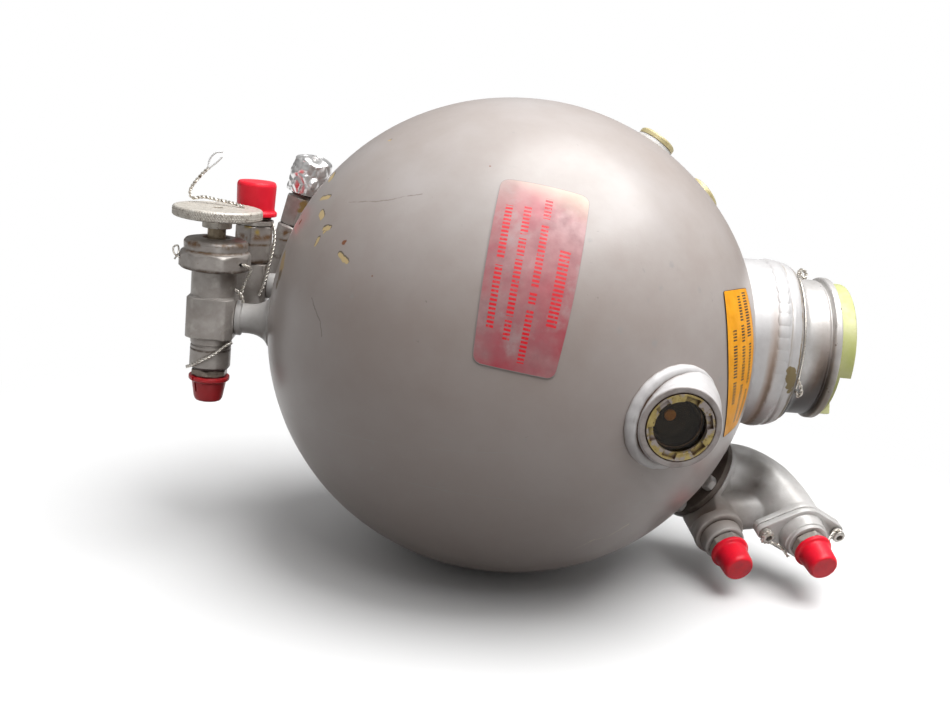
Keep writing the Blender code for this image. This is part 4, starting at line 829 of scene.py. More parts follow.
def valve_metal():
    """Aluminium valve body, silver-painted and dulled, with brown fluid stains in each joint."""
    return finish("dull_silver_valve_body", ("A9A39E", "958E88"), 10.0, 0.36, 0.35, 0.7, 0.03, 0.04, layers=(
        (cloud(9.0, 0.56, 0.72, 3.0), "B9B4AE", 0.34, 0.35),
        (cloud(3.0, 0.68, 0.74, 4.0), "7A6A58", 0.5, 0.1),
        (both(line(UPRIGHT, 42.6, 2.8, 1.6), cloud(7.0, 0.44, 0.58, 9.0)), "75583D", 0.5, 0.1),
        (both(line(UPRIGHT, 37.6, 1.2, 1.0), cloud(7.0, 0.36, 0.56, 4.0)), "6A543F", 0.5, 0.1),
        (both(line(UPRIGHT, 26.0, 2.2, 1.2), cloud(6.0, 0.30, 0.52, 8.0)), "4E3D2F", 0.5, 0.1),
        (spots([(-178.0, 33.5, 50.0, 2.6), (-171.5, 33.5, 46.0, 1.8)], 4.0, 2.0, 0.9), "A58E50", 0.5, 0.1),
        (spots([(-145.5, 67.5, 63.0, 3.4), (-147.0, 67.5, 59.5, 2.6)], 4.0, 2.0, 0.9), "8A6F42", 0.5, 0.1),
        (both(line(UPRIGHT, -26.5, 0.9, 0.6), cloud(6.0, 0.34, 0.52, 6.0)), "54473D", 0.5, 0.1),
        (both(line(UPRIGHT, -38.6, 1.2, 0.8), cloud(8.0, 0.20, 0.45, 6.0)), "2B2723", 0.5, 0.1),
        (both(crevice(3.0, 0.30, 0.80), cloud(5.0, 0.32, 0.58, 7.0)), "4D3F33", 0.6, 0.1)))


def wheel_metal():
    """Knurled handwheel: matt silver with a pale crust and brown in the knurl."""
    return finish("knurled_aluminium_wheel", ("D2CDC4", "BFB8AD"), 5.0, 0.45, 0.30, 0.5, 0.05, layers=(
        (cloud(2.0, 0.55, 0.66, 4.0), "93897F", 0.5, 0.4),
        (both(crevice(1.0, 0.35, 0.85), cloud(3.0, 0.35, 0.55, 7.0)), "6B5347", 0.6, 0.1)))


def hub_coat():
    """Cream-brown stem and hub, stained by fluid."""
    return finish("stained_valve_stem", ("B8A88E", "8F7F69"), 5.0, 0.42, 0.3, 0.6, 0.02, layers=(
        (cloud(3.0, 0.58, 0.66, 4.0), "5B4A38", 0.5, 0.1),))


def casting_paint():
    """Silver-grey paint on a sand casting, dark smudges where fluid has dried, a painted highlight beside the
    flange and painted shade on the lower lobe.
    """
    return finish(
        "silver_paint_on_sand_casting", ("DAD8D6", "CAC7C4"), 13.0, 0.36, 0.18, 0.9, 0.06, 0.12, layers=(
        (cloud(24.0, 0.54, 0.74, 3.0), "BDB9B5", 0.40, 0.2),
        # Painted highlight: a pale patch beside the flange where light falls.
        (spots([(163.9, 9.0, -78.6, 8.0)], 10.0, 3.0, 5.0), "F2F1F0", 0.36, 0.1),
        (spots([(178.1, 2.4, -87.4, 7.5), (177.0, 3.4, -80.4, 5.0)], 14.0, 4.0, 9.0), "4F463E", 0.45, 0.1),
        (spots([(166.1, 9.0, -101.3, 8.0)], 12.0, 4.0, 8.0), "564C43", 0.45, 0.1),
        # Painted shade: the lower lobe and the web beside it are darkened as if in deep shadow.
        (spots([(150.0, -8.0, -114.0, 20.0), (134.0, 0.0, -98.0, 14.0)], 16.0, 5.0, 9.0), "84766D", 0.5, 0.1),
        (cloud(4.0, 0.70, 0.76, 4.0), "7A6B5C", 0.5, 0.1),
        (both(crevice(4.0, 0.25, 0.75), cloud(6.0, 0.34, 0.58, 7.0)), "5A4B3E", 0.6, 0.1)))


def steel(name="passivated_steel_fittings", tones=("C4C0BA", "ACA7A0"), patch="C0B498"):
    """Passivated steel hexagons and threads, greyed, with grime at their roots."""
    return finish(name, tones, 5.0, 0.34, 0.55, 0.5, 0.015, layers=(
        (cloud(4.0, 0.58, 0.72, 4.0), patch, 0.45, 0.3),
        (both(crevice(2.0, 0.30, 0.80), cloud(4.0, 0.32, 0.58, 7.0)), "4A3D30", 0.6, 0.1)))


def red_plastic(name, tone, glow):
    """Moulded red polyethylene dust cap: waxy, slightly clear, so light goes a little way in."""
    return finish(name, (tone, glow), 14.0, 0.36, grain_mm=1.6, grain_depth_mm=0.02, layers=(
        (cloud(7.0, 0.66, 0.78, 4.0), "B81E30", 0.45, 0.0),),
        constants={"Subsurface Weight": 0.32, "Subsurface Scale": 0.004,
                   "Subsurface Radius": (1.0, 0.25, 0.2), "Specular IOR Level": 0.32})


def lens_glass():
    """Thick sight glass, filmed brown on its inner face."""
    return finish("sight_glass", ("D2C2AA", "C4B296"), 9.0, 0.0, grain_mm=3.0, grain_depth_mm=0.0,
                  constants={"Transmission Weight": 1.0, "IOR": 1.25})


def dark_well():
    """Inside of the sight glass: black-brown as painted shade of the closed tank and as fluid residue, glossy
    in places.
    """
    # Painted shade: the well is near black for the dark inside of the tank, with fluid residue.
    return finish("varnished_fluid_well", ("281E16", "18120D"), 6.0, 0.45, grain_mm=2.5, grain_depth_mm=0.012,
                  layers=((cloud(5.0, 0.62, 0.76, 3.0), "4A3725", 0.45, 0.0),),
                  constants={"Specular IOR Level": 0.25})


def seal_rubber():
    """Black nitrile seal, matt."""
    return finish("nitrile_seal", ("1E1D1C", "2A2827"), 4.0, 0.6, grain_mm=0.5, grain_depth_mm=0.02)


def kitchen_foil():
    """Thin aluminium foil crushed by hand: bright, with sharp folds."""
    return finish("crushed_aluminium_foil", ("F2F1F0", "E4E2E1"), 6.0, 0.30, 1.0, 2.6, 0.05, 0.04, layers=(
        (cloud(5.0, 0.60, 0.72, 4.0), "D8C6BF", 0.32, 1.0),))


def wire_steel():
    """Stainless lockwire, bright on its bends and a little brown."""
    return finish("stainless_lockwire", ("DAD6CF", "BFB8AD"), 3.0, 0.28, 0.7, 0.4, 0.01, layers=(
        (cloud(4.0, 0.60, 0.70, 4.0), "75614C", 0.5, 0.3),))


def pleat_paper():
    """Resin-treated filter paper in pleats, inside the tank."""
    return finish("pleated_filter_paper", ("CDBB8E", "BBA878"), 6.0, 0.85, grain_mm=0.4, grain_depth_mm=0.05,
                  layers=((cloud(10.0, 0.55, 0.75, 4.0), "8A7448", 0.8, 0.0),))


def inner_steel():
    """Clean stainless tubes and end plates inside the tank."""
    return finish("stainless_tube", ("B3B1AC", "9F9C97"), 8.0, 0.28, 0.95, 0.4, 0.01)


def inside_coat():
    """Bare inner wall of the tank, lightly varnished by fluid."""
    return finish("bare_inner_wall", ("9A948A", "857D70"), 24.0, 0.42, 0.6, 1.0, 0.03)


def print_bars(tree, across, along, bars):
    """Mask of plain ink bars, each given by its middle and half size across and its ends along the plate."""
    boxes = []
    for middle, half, start, stop in bars:
        wide = maths(tree, "COMPARE", across, middle, half)
        long = maths(tree, "COMPARE", along, (start + stop) / 2, (stop - start) / 2)
        boxes.append(maths(tree, "MULTIPLY", wide, long))
    return gather(tree, "MAXIMUM", boxes)


def plate_print(name, ground, ink, bars, strokes, rim, rough, metallic, blush=()):
    """Printed plate read through its own UV map: ground, border, rows of plain ink strokes and wear."""
    material, tree = new_material(name)
    coords = add_node(tree, "ShaderNodeTexCoord").outputs
    spot = coords["Object"]
    flat = add_node(tree, "ShaderNodeSeparateXYZ", {0: coords["UV"]})
    across, along = flat.outputs[0], flat.outputs[1]
    shade = cloud(9.0, 0.38, 0.62)(tree, spot)
    colour = blend_colour(tree, shade, linear(ground[0]), linear(ground[1]))
    for mask_of, tone in blush:
        colour = blend_colour(tree, mask_of(tree, spot), colour, linear(tone))
    worn = cloud(2.4, 0.30, 0.46, 6.0)(tree, spot)
    counted = maths(tree, "FRACT", maths(tree, "MULTIPLY", along, strokes))
    upright = maths(tree, "LESS_THAN", counted, STROKE_SHARE)
    marks = maths(tree, "MULTIPLY", print_bars(tree, across, along, bars), upright)
    inked = maths(tree, "MULTIPLY", marks, worn)
    colour = blend_colour(tree, inked, colour, hex_colour(ink))
    edge = add_node(tree, "ShaderNodeAttribute", attribute_name="rim").outputs["Fac"]
    colour = blend_colour(tree, maths(tree, "GREATER_THAN", edge, 0.5), colour, hex_colour(rim))
    crease = add_node(tree, "ShaderNodeTexNoise", {"Vector": spot, "Scale": 90.0, "Detail": 4.0})
    relief = add_node(tree, "ShaderNodeBump", {
        "Height": crease.outputs[0], "Strength": 1.0, "Distance": 0.00035})
    shader = add_node(tree, "ShaderNodeBsdfPrincipled", {
        "Base Color": colour, "Roughness": ranged(tree, shade, 0.0, 1.0, rough * 0.85, rough * 1.2),
        "Metallic": ranged(tree, inked, 0.0, 1.0, metallic, 0.0), "Normal": relief.outputs[0]})
    add_node(tree, "ShaderNodeOutputMaterial", {0: shader.outputs[0]})
    return material


# Settings that a user would change

class ReservoirSizes(bpy.types.PropertyGroup):
    """Sizes of the fine detail that the scene adds to the frame."""

    weld_width: bpy.props.FloatProperty(
        name="Weld width", description="Width of the weld round the filler neck",
        default=0.0085, min=0.004, max=0.012, unit="LENGTH")
    unevenness: bpy.props.FloatProperty(
        name="Skin unevenness", description="How far the spun skin wanders from its true form",
        default=0.0010, min=0.0, max=0.003, unit="LENGTH")
    wire: bpy.props.FloatProperty(
        name="Lockwire radius", description="Radius of one strand of lockwire",
        default=0.00058, min=0.0003, max=0.0008, unit="LENGTH")
    wire_pitch: bpy.props.FloatProperty(
        name="Twist pitch", description="Length of one full turn of twisted lockwire",
        default=0.0052, min=0.002, max=0.008, unit="LENGTH")
    thread_pitch: bpy.props.FloatProperty(
        name="Thread pitch", description="Distance between the turns of the fittings' threads",
        default=0.0015, min=0.0008, max=0.0025, unit="LENGTH")
    knurl_depth: bpy.props.FloatProperty(
        name="Knurl depth", description="Depth of the handwheel's diamond knurl",
        default=0.00055, min=0.0, max=0.0010, unit="LENGTH")
    casting_voxel: bpy.props.FloatProperty(
        name="Casting grid", description="Grid size of the remesh that rounds the casting's inner corners",
        default=0.0008, min=0.0006, max=0.002, unit="LENGTH")


def tint(name, description, tone):
    """Colour setting whose default is given as sRGB hex."""
    return bpy.props.FloatVectorProperty(name=name, description=description, default=hex_colour(tone)[:3],
                                         size=3, min=0.0, max=1.0, subtype="COLOR")


class ReservoirColours(bpy.types.PropertyGroup):
    """Main colours of the finishes."""

    tank: tint("Tank enamel", "Grey enamel on the tank", "AFA8A5")
    neck: tint("Neck paint", "Silver paint on the filler neck", "CCCBCB")
    cap: tint("Filler cap", "Yellow-green chromate on the filler cap", "C4C592")
    dust_cap: tint("Dust caps", "Red of the push-on dust caps", "FF1832")
    placard: tint("Neck placard", "Yellow of the placard beside the neck", "F4A600")


def sizes():
    """The sizes set in the sidebar."""
    return bpy.context.scene.reservoir_sizes


def colours():
    """The colours set in the sidebar."""
    return bpy.context.scene.reservoir_colours


SHARED = {}


def shared(make):
    """A material or node tree made once and used again."""
    if make not in SHARED:
        SHARED[make] = make()
    return SHARED[make]


def weld(name, home, radius, height, count, length, out, width):
    """Ring of overlapping weld ripples at a height on a turned piece."""
    bm = bmesh.new()
    bmesh.ops.create_uvsphere(bm, u_segments=22, v_segments=12, radius=1.0)
    bm.transform(Matrix.Diagonal((out, length, width, 1.0)))
    ripple = keep(name + "_ripple", bm, Matrix.Identity(4), shared(fitting_paint))
    ring = grown(name, shared(ring_tree), home @ Matrix.Translation((0.0, 0.0, height)), {
        "Shape": ripple, "Count": count, "Radius": radius, "Size change": 0.07, "Seed": 5,
        "Finish": shared(fitting_paint)})
    discard(ripple)
    return ring


def skin_weld(name, home, radius, bead, ripples, depth, coat):
    """Bead along the closed line where a round boss meets the tank's skin, with shallow ripples."""
    up = Vector(UPRIGHT)
    count = ripples * BEAD_STEPS
    bm = bmesh.new()
    rings = []
    for k in range(count):
        turn = math.tau * k / count
        out = Vector((math.cos(turn), math.sin(turn), 0.0))
        low, high = -0.06, 0.02
        for _ in range(22):
            level = (low + high) / 2
            point = home @ (out * radius + up * level) - CENTRE
            if (point.x / HALF_LENGTH) ** 2 + (point.y ** 2 + point.z ** 2) / RADIUS ** 2 < 1.0:
                low = level
            else:
                high = level
        size = bead - depth * abs(math.cos(turn * ripples / 2)) ** 3
        middle = out * radius + up * level
        rings.append([bm.verts.new(middle + size * (math.cos(a) * out + math.sin(a) * up))
                      for a in (math.tau * i / BEAD_SIDES for i in range(BEAD_SIDES))])
    for ring, after in zip(rings, rings[1:] + rings[:1]):
        for i in range(BEAD_SIDES):
            bm.faces.new((ring[i - 1], ring[i], after[i], after[i - 1]))
    return keep(name, bm, home, coat, 40)


def thread(name, home, radius, low, high, coat):
    """Thread turns on a fitting's neck."""
    pitch = sizes().thread_pitch
    root = radius - THREAD_DEPTH
    ridge = turned(name + "_turn",
                   [(root, 0.0), (radius, pitch * 0.42), (radius, pitch * 0.58), (root, pitch)],
                   Matrix.Identity(4), coat, 48, 0.0)
    turns = grown(name, shared(stack_tree), home @ Matrix.Translation((0.0, 0.0, low)), {
        "Shape": ridge, "Count": int((high - low) / pitch), "Pitch": pitch, "Finish": coat}, sharp=60)
    discard(ridge)
    return turns


def union_fitting(name, home, low, radius, across, height, length, bore=0.0052, coat=None):
    """Hexagon with a threaded neck and a flared nose, bored through."""
    coat = coat or shared(steel)
    corner = across / 2 / math.cos(math.pi / HEXAGON)
    cone = (corner - across / 2) * 0.6
    top = low + height
    root = radius - THREAD_DEPTH
    end = top + length
    body = turned(name, [
        (bore, low), (across / 2, low), (corner, low + cone), (corner, top - cone), (across / 2, top),
        (radius - 0.0004, top), (root, top + 0.0008), (root, end - 0.0022), (radius - 0.0016, end - 0.0014),
        (radius - 0.0030, end), (bore, end)],
        home, coat, FINE, 0.0003, flats(HEXAGON, across, low, top))
    return merge(body, thread(name + "_thread", home, radius, top + 0.0010, end - 0.0022, coat))


def dust_cap(name, home, low, radius, rim, height, end, coat, notch=False):
    """Push-on moulded cap: a rolled rim, a waist, a tapered body and a soft crown."""
    inner = radius + 0.0003
    body = inner + 0.0012
    top = low + height
    cap = turned(name, [
        (0.0, top), (end - 0.0010, top, 0.0016), (end, top - 0.0022, 0.0012),
        (body + 0.0002, low + 0.0052, 0.002), (body + 0.0004, low + 0.0036, 0.0008),
        (rim, low + 0.0026, 0.0007), (rim, low, 0.0007),
        (inner, low, 0.0003), (inner, low + 0.0030), (inner - 0.0002, top - 0.0030), (0.0, top - 0.0024)],
        home, coat, FINE, 0.0005)
    if notch:
        bite = slab(name + "_bite", box(-0.0009, 0.0009, 0.0, rim + 0.01), low - 0.002, low + height * 0.62,
                    home @ Matrix.Rotation(math.radians(42), 4, "Z"), coat, 0.0)
        cap = combine(cap, bite)
    return cap


class RESERVOIR_OT_tank(bpy.types.Operator):
    """Spun and welded tank shell with its openings"""

    bl_idname = "reservoir.tank"
    bl_label = "Tank"

    def execute(self, context):
        paint = tank_paint()
        skin = grown("tank", skin_tree(), Matrix.Translation(CENTRE), {
            "Half length": HALF_LENGTH, "Radius": RADIUS, "Unevenness": sizes().unevenness, "Finish": paint})
        inner = []
        for i in range(41):
            angle = math.pi * i / 40
            across = 0.0 if i in (0, 40) else (RADIUS - WALL) * math.sin(angle)
            inner.append((across, (HALF_LENGTH - WALL) * math.cos(angle)))
        hollow = turned("tank_hollow", inner, place((0, 0, 0), (1, 0, 0)), inside_coat(), 64, 0.0)
        neck = rod("neck_hole", 0.0512, 0.10, 0.17, NECK_HOME, paint)
        sight = rod("sight_hole", 0.0232, -0.05, 0.02, SIGHT_HOME, paint)
        outlet = rod("outlet_hole", 0.0148, 0.12, 0.17, place((0, 0, 0), OUTLET), paint, 48)
        tank = combine(skin, hollow, neck, sight, outlet, sharp=50)
        fit(tank, "root", "grey_enamel", "tank_shell")
        return {"FINISHED"}


class RESERVOIR_OT_rear_pad(bpy.types.Operator):
    """Welded mounting pad with four blind holes"""

    bl_idname = "reservoir.rear_pad"
    bl_label = "Rear pad"

    def execute(self, context):
        home = place((0.0, RADIUS, 0.0), (0.0, 1.0, 0.0))
        paint = shared(fitting_paint)
        pad = turned("rear_pad", [
            (0.0, 0.009), (0.031, 0.009, 0.001), (0.0325, -0.003, 0.0), (0.0325, -0.008), (0.0, -0.008)],
            home, paint, FINE, 0.0006)
        bores = []
        for i in range(4):
            turn = math.radians(45 + 90 * i)
            spot = home @ Matrix.Translation((0.022 * math.cos(turn), 0.022 * math.sin(turn), 0.0))
            bores.append(turned(f"pad_bore_{i}", [
                (0.0, 0.012), (0.0050, 0.012), (0.0033, 0.0084), (0.0033, 0.0035), (0.0, 0.0020)],
                spot, shared(steel), 32, 0.0))
        fit(combine(pad, *bores), "root", "grey_enamel", "rear_mount_pad")
        bead = skin_weld("rear_pad_weld", home, 0.0325, 0.0030, 34, 0.00022, paint)
        fit(bead, "root", "grey_enamel")
        return {"FINISHED"}


class RESERVOIR_OT_filler_neck(bpy.types.Operator):
    """Filler neck with its weld, and the machined adapter"""

    bl_idname = "reservoir.filler_neck"
    bl_label = "Filler neck"

    def execute(self, context):
        paint = shared(neck_paint)
        neck = turned("filler_neck_tube", [
            (0.0505, 0.118), (0.0535, 0.118), (0.0535, 0.1555), (0.0538, 0.1572, 0.001),
            (0.0541, 0.1612, 0.003), (0.0538, 0.1650, 0.001), (0.0532, 0.1664), (0.0536, 0.1680, 0.0010),
            (0.0531, 0.1695), (0.0527, 0.1712, 0.0015), (0.0512, 0.1740, 0.0010), (0.0505, 0.1740, 0.0003)],
            NECK_HOME, paint, 128, 0.0005)
        fit(neck, "root", "grey_enamel", "filler_neck")
        width = sizes().weld_width
        ring = weld("neck_weld", NECK_HOME, 0.0534, 0.1611, 46, 0.0062, 0.0012, width * 0.50)
        ring.data.materials.clear()
        ring.data.materials.append(paint)
        fit(ring, "root", "grey_enamel")
        adapter = turned("filler_adapter_ring", [
            (0.0362, FOOT - 0.011), (0.0502, FOOT - 0.011), (0.0502, FOOT - 0.0002), (0.0500, FOOT, 0.0),
            (0.0495, FOOT + 0.0022, 0.0012), (0.0452, FOOT + 0.0036, 0.0010), (0.0440, FOOT + 0.0062, 0.002),
            (0.0438, FACE - 0.0072, 0.001), (0.0428, FACE - 0.0062, 0.0006), (0.0430, FACE - 0.0054, 0.0004),
            (0.0452, FACE - 0.0048, 0.0005), (0.0460, FACE - 0.0040), (0.0460, FACE - 0.0005), (0.0455, FACE),
            (0.0394, FACE), (0.0394, FACE - 0.009), (0.0362, FACE - 0.009)],
            NECK_HOME, adapter_metal(), 128, 0.0004)
        fit(adapter, "root", "bare_aluminium", "filler_adapter")
        return {"FINISHED"}


class RESERVOIR_OT_filler_cap(bpy.types.Operator):
    """Filler plug, its seal and the turning grip"""

    bl_idname = "reservoir.filler_cap"
    bl_label = "Filler cap"

    def execute(self, context):
        coat = shared(cap_coat)
        seat = FACE - 0.0090 + 0.0003
        groove = seat - 0.0065
        plug = turned("filler_plug_disc", [
            (0.0, FACE + 0.0056), (0.0100, FACE + 0.0056), (0.0110, FACE + 0.0046), (0.0110, FACE),
            (0.0391, FACE), (0.0391, seat), (0.0344, seat), (0.0344, groove + 0.0017),
            (0.0334, groove + 0.0017), (0.0334, groove - 0.0017), (0.0344, groove - 0.0017),
            (0.0344, seat - 0.012, 0.001), (0.0304, seat - 0.012), (0.0304, seat - 0.004),
            (0.0, seat - 0.004)],
            NECK_HOME, coat, FINE, 0.0003)
        fit(plug, "filler_plug", "chromate_cap", "cap_plug")
        seal = 0.0011
        ring = turned("filler_plug_seal", [
            (0.0348 + seal * math.cos(math.tau * i / 12), groove + seal * math.sin(math.tau * i / 12), 0.0)
            for i in range(12)], NECK_HOME, shared(seal_rubber), FINE, 0.0)
        fit(ring, "filler_plug", "seal_rubber", "cap_seal")

        low = FACE + 0.0003
        grip = turned("filler_grip_ring", [
            (0.0113, low), (0.0428, low), (0.0428, low + 0.0098, 0.0010), (0.0358, low + 0.0098),
            (0.0358, low + 0.0026, 0.001), (0.0113, low + 0.0026)], NECK_HOME, coat, FINE, 0.0004)
        bars = [slab(f"grip_bar_{i}", box(s * 0.0125, s * 0.0368, -0.005, 0.005), low + 0.0012, low + 0.0078,
                     NECK_HOME, coat, 0.0007) for i, s in enumerate((1, -1))]
        grip = combine(grip, *bars, operation="UNION")
        wedges = []
        for i, at in enumerate((-50.0, 130.0)):
            arc = [math.radians(at - 27.5 + 55.0 * k / 12) for k in range(13)]
            outline = [(0.06 * math.cos(a), 0.06 * math.sin(a)) for a in arc]
            outline += [(0.0343 * math.cos(a), 0.0343 * math.sin(a)) for a in reversed(arc)]
            wedges.append(slab(f"grip_notch_{i}", outline, low + 0.0026, low + 0.02, NECK_HOME, coat, 0.0))
        fit(combine(grip, *wedges), "filler_grip", "chromate_cap", "cap_grip")
        return {"FINISHED"}


class RESERVOIR_OT_sight_glass(bpy.types.Operator):
    """Sight glass: welded boss, gasket, lens, castellated ring and the dark well behind"""

    bl_idname = "reservoir.sight_glass"
    bl_label = "Sight glass"

    def execute(self, context):
        paint = sight_paint()
        boss = turned("sight_boss_ring", [
            (0.0142, -0.034), (0.0300, -0.034), (0.0294, -0.020, 0.004), (0.0262, -0.0125, 0.004),
            (0.0250, -0.0080, 0.002), (0.0243, -0.0060, 0.0008), (0.0236, -0.0045, 0.001),
            (0.0235, -0.0010, 0.0008), (0.0227, 0.0, 0.0004), (0.0200, 0.0, 0.0004), (0.0194, -0.0006),
            (0.0194, -0.0105),
            (0.0142, -0.0105)], SIGHT_HOME, paint, FINE, 0.0004)
        fit(boss, "root", "grey_enamel", "sight_boss")
        bead = skin_weld("sight_weld", SIGHT_HOME, 0.0262, 0.0044, 22, 0.00016, paint)
        fit(bead, "root", "grey_enamel")
        gasket = turned("sight_gasket_ring", [
            (0.0148, -0.0102), (0.0191, -0.0102), (0.0191, -0.0090), (0.0148, -0.0090)],
            SIGHT_HOME, shared(seal_rubber), FINE, 0.0002)
        fit(gasket, "root", "seal_rubber", "sight_gasket")
        lens = turned("sight_lens_disc", [
            (0.0, -0.0087), (0.0190, -0.0087), (0.0190, -0.0037), (0.0, -0.0037)],
            SIGHT_HOME, lens_glass(), FINE, 0.0004)
        fit(lens, "root", "sight_glass", "sight_lens")
        low = -0.0034
        top = 0.0002
        gold = shared(gold_chromate)
        ring = turned("sight_ring_castellated", [(0.0148, low), (0.0190, low), (0.0190, top), (0.0148, top)],
                      SIGHT_HOME, gold, 144, 0.0003)
        cuts = []
        for i in range(6):
            turn = SIGHT_HOME @ Matrix.Rotation(math.tau * (i + 0.25) / 6, 4, "Z")
            cuts.append(slab(f"sight_slot_{i}", box(0.0122, 0.0177, -0.0040, 0.0040),
                             low + 0.0016, top + 0.004, turn, gold, 0.0))
        ring = combine(ring, *cuts)
        fit(ring, "root", "chromate_gold", "sight_ring")
        # The well's near-black finish is painted shade with fluid residue.
        shade_and_varnish = dark_well()
        well = turned("sight_well", [
            (0.0, -0.0245), (0.0141, -0.0245), (0.0141, -0.0104), (0.0132, -0.0104), (0.0126, -0.0225, 0.004),
            (0.0, -0.0232)], SIGHT_HOME, shade_and_varnish, 64, 0.0004)
        fit(well, "root", "seal_rubber")
        stud = turned("sight_well_stud", [
            (0.0, -0.0235), (0.0033, -0.0235), (0.0033, -0.0214, 0.0004), (0.0, -0.0214)],
            SIGHT_HOME, brass(), 48, 0.0003)
        fit(stud, "root", "chromate_gold")
        return {"FINISHED"}


class RESERVOIR_OT_small_ports(bpy.types.Operator):
    """Two small ports at the upper right with slotted ring plugs"""

    bl_idname = "reservoir.small_ports"
    bl_label = "Small ports"

    def execute(self, context):
        coat = shared(port_chromate)
        paint = shared(fitting_paint)
        for stem, direction, radius, height in (
                ("level_port", Vector((0.765, 0.22, 0.643)).normalized(), 0.0135, 0.0035),
                ("blank_port", Vector((0.52, 0.15, 0.84)).normalized(), 0.0128, 0.0030)):
            home = place(on_tank(direction), direction)
            boss = turned(f"{stem}_welded_boss", [
                (0.0075, -0.007), (radius + 0.0030, -0.007), (radius + 0.0016, 0.0008, 0.001),
                (radius + 0.0002, 0.0020, 0.0008), (radius, height), (0.0075, height)],
                home, paint, FINE, 0.0005)
            fit(boss, "root", "grey_enamel", f"{stem}_boss")
            low = height + 0.0003
            plug = turned(f"{stem}_ring_plug", [
                (0.0, low + 0.0018), (radius - 0.006, low + 0.0018), (radius - 0.006, low + 0.0038),
                (radius - 0.0012, low + 0.0038), (radius - 0.0002, low + 0.0028), (radius - 0.0002, low),
                (0.0072, low), (0.0072, 0.0015), (0.0, 0.0015)], home, coat, FINE, 0.0004)
            slot = slab(f"{stem}_slot", box(-0.02, 0.02, -0.0011, 0.0011), low + 0.0022, low + 0.01,
                        home, coat, 0.0)
            fit(combine(plug, slot), "root", "chromate_gold", f"{stem}_plug")
        return {"FINISHED"}


def eared_outline(centre, ear, at, steps=14):
    """Two-eared plate: a round middle and two round ears joined by tangent lines."""
    lean = math.acos((centre - ear) / at)
    points = []
    for middle, radius, first, last in (
            (0.0, centre, lean, math.pi - lean), (-at, ear, math.pi - lean, math.pi + lean),
            (0.0, centre, math.pi + lean, math.tau - lean), (at, ear, -lean, lean)):
        for i in range(steps + 1):
            angle = first + (last - first) * i / steps
            points.append((middle + radius * math.cos(angle), radius * math.sin(angle)))
    return points


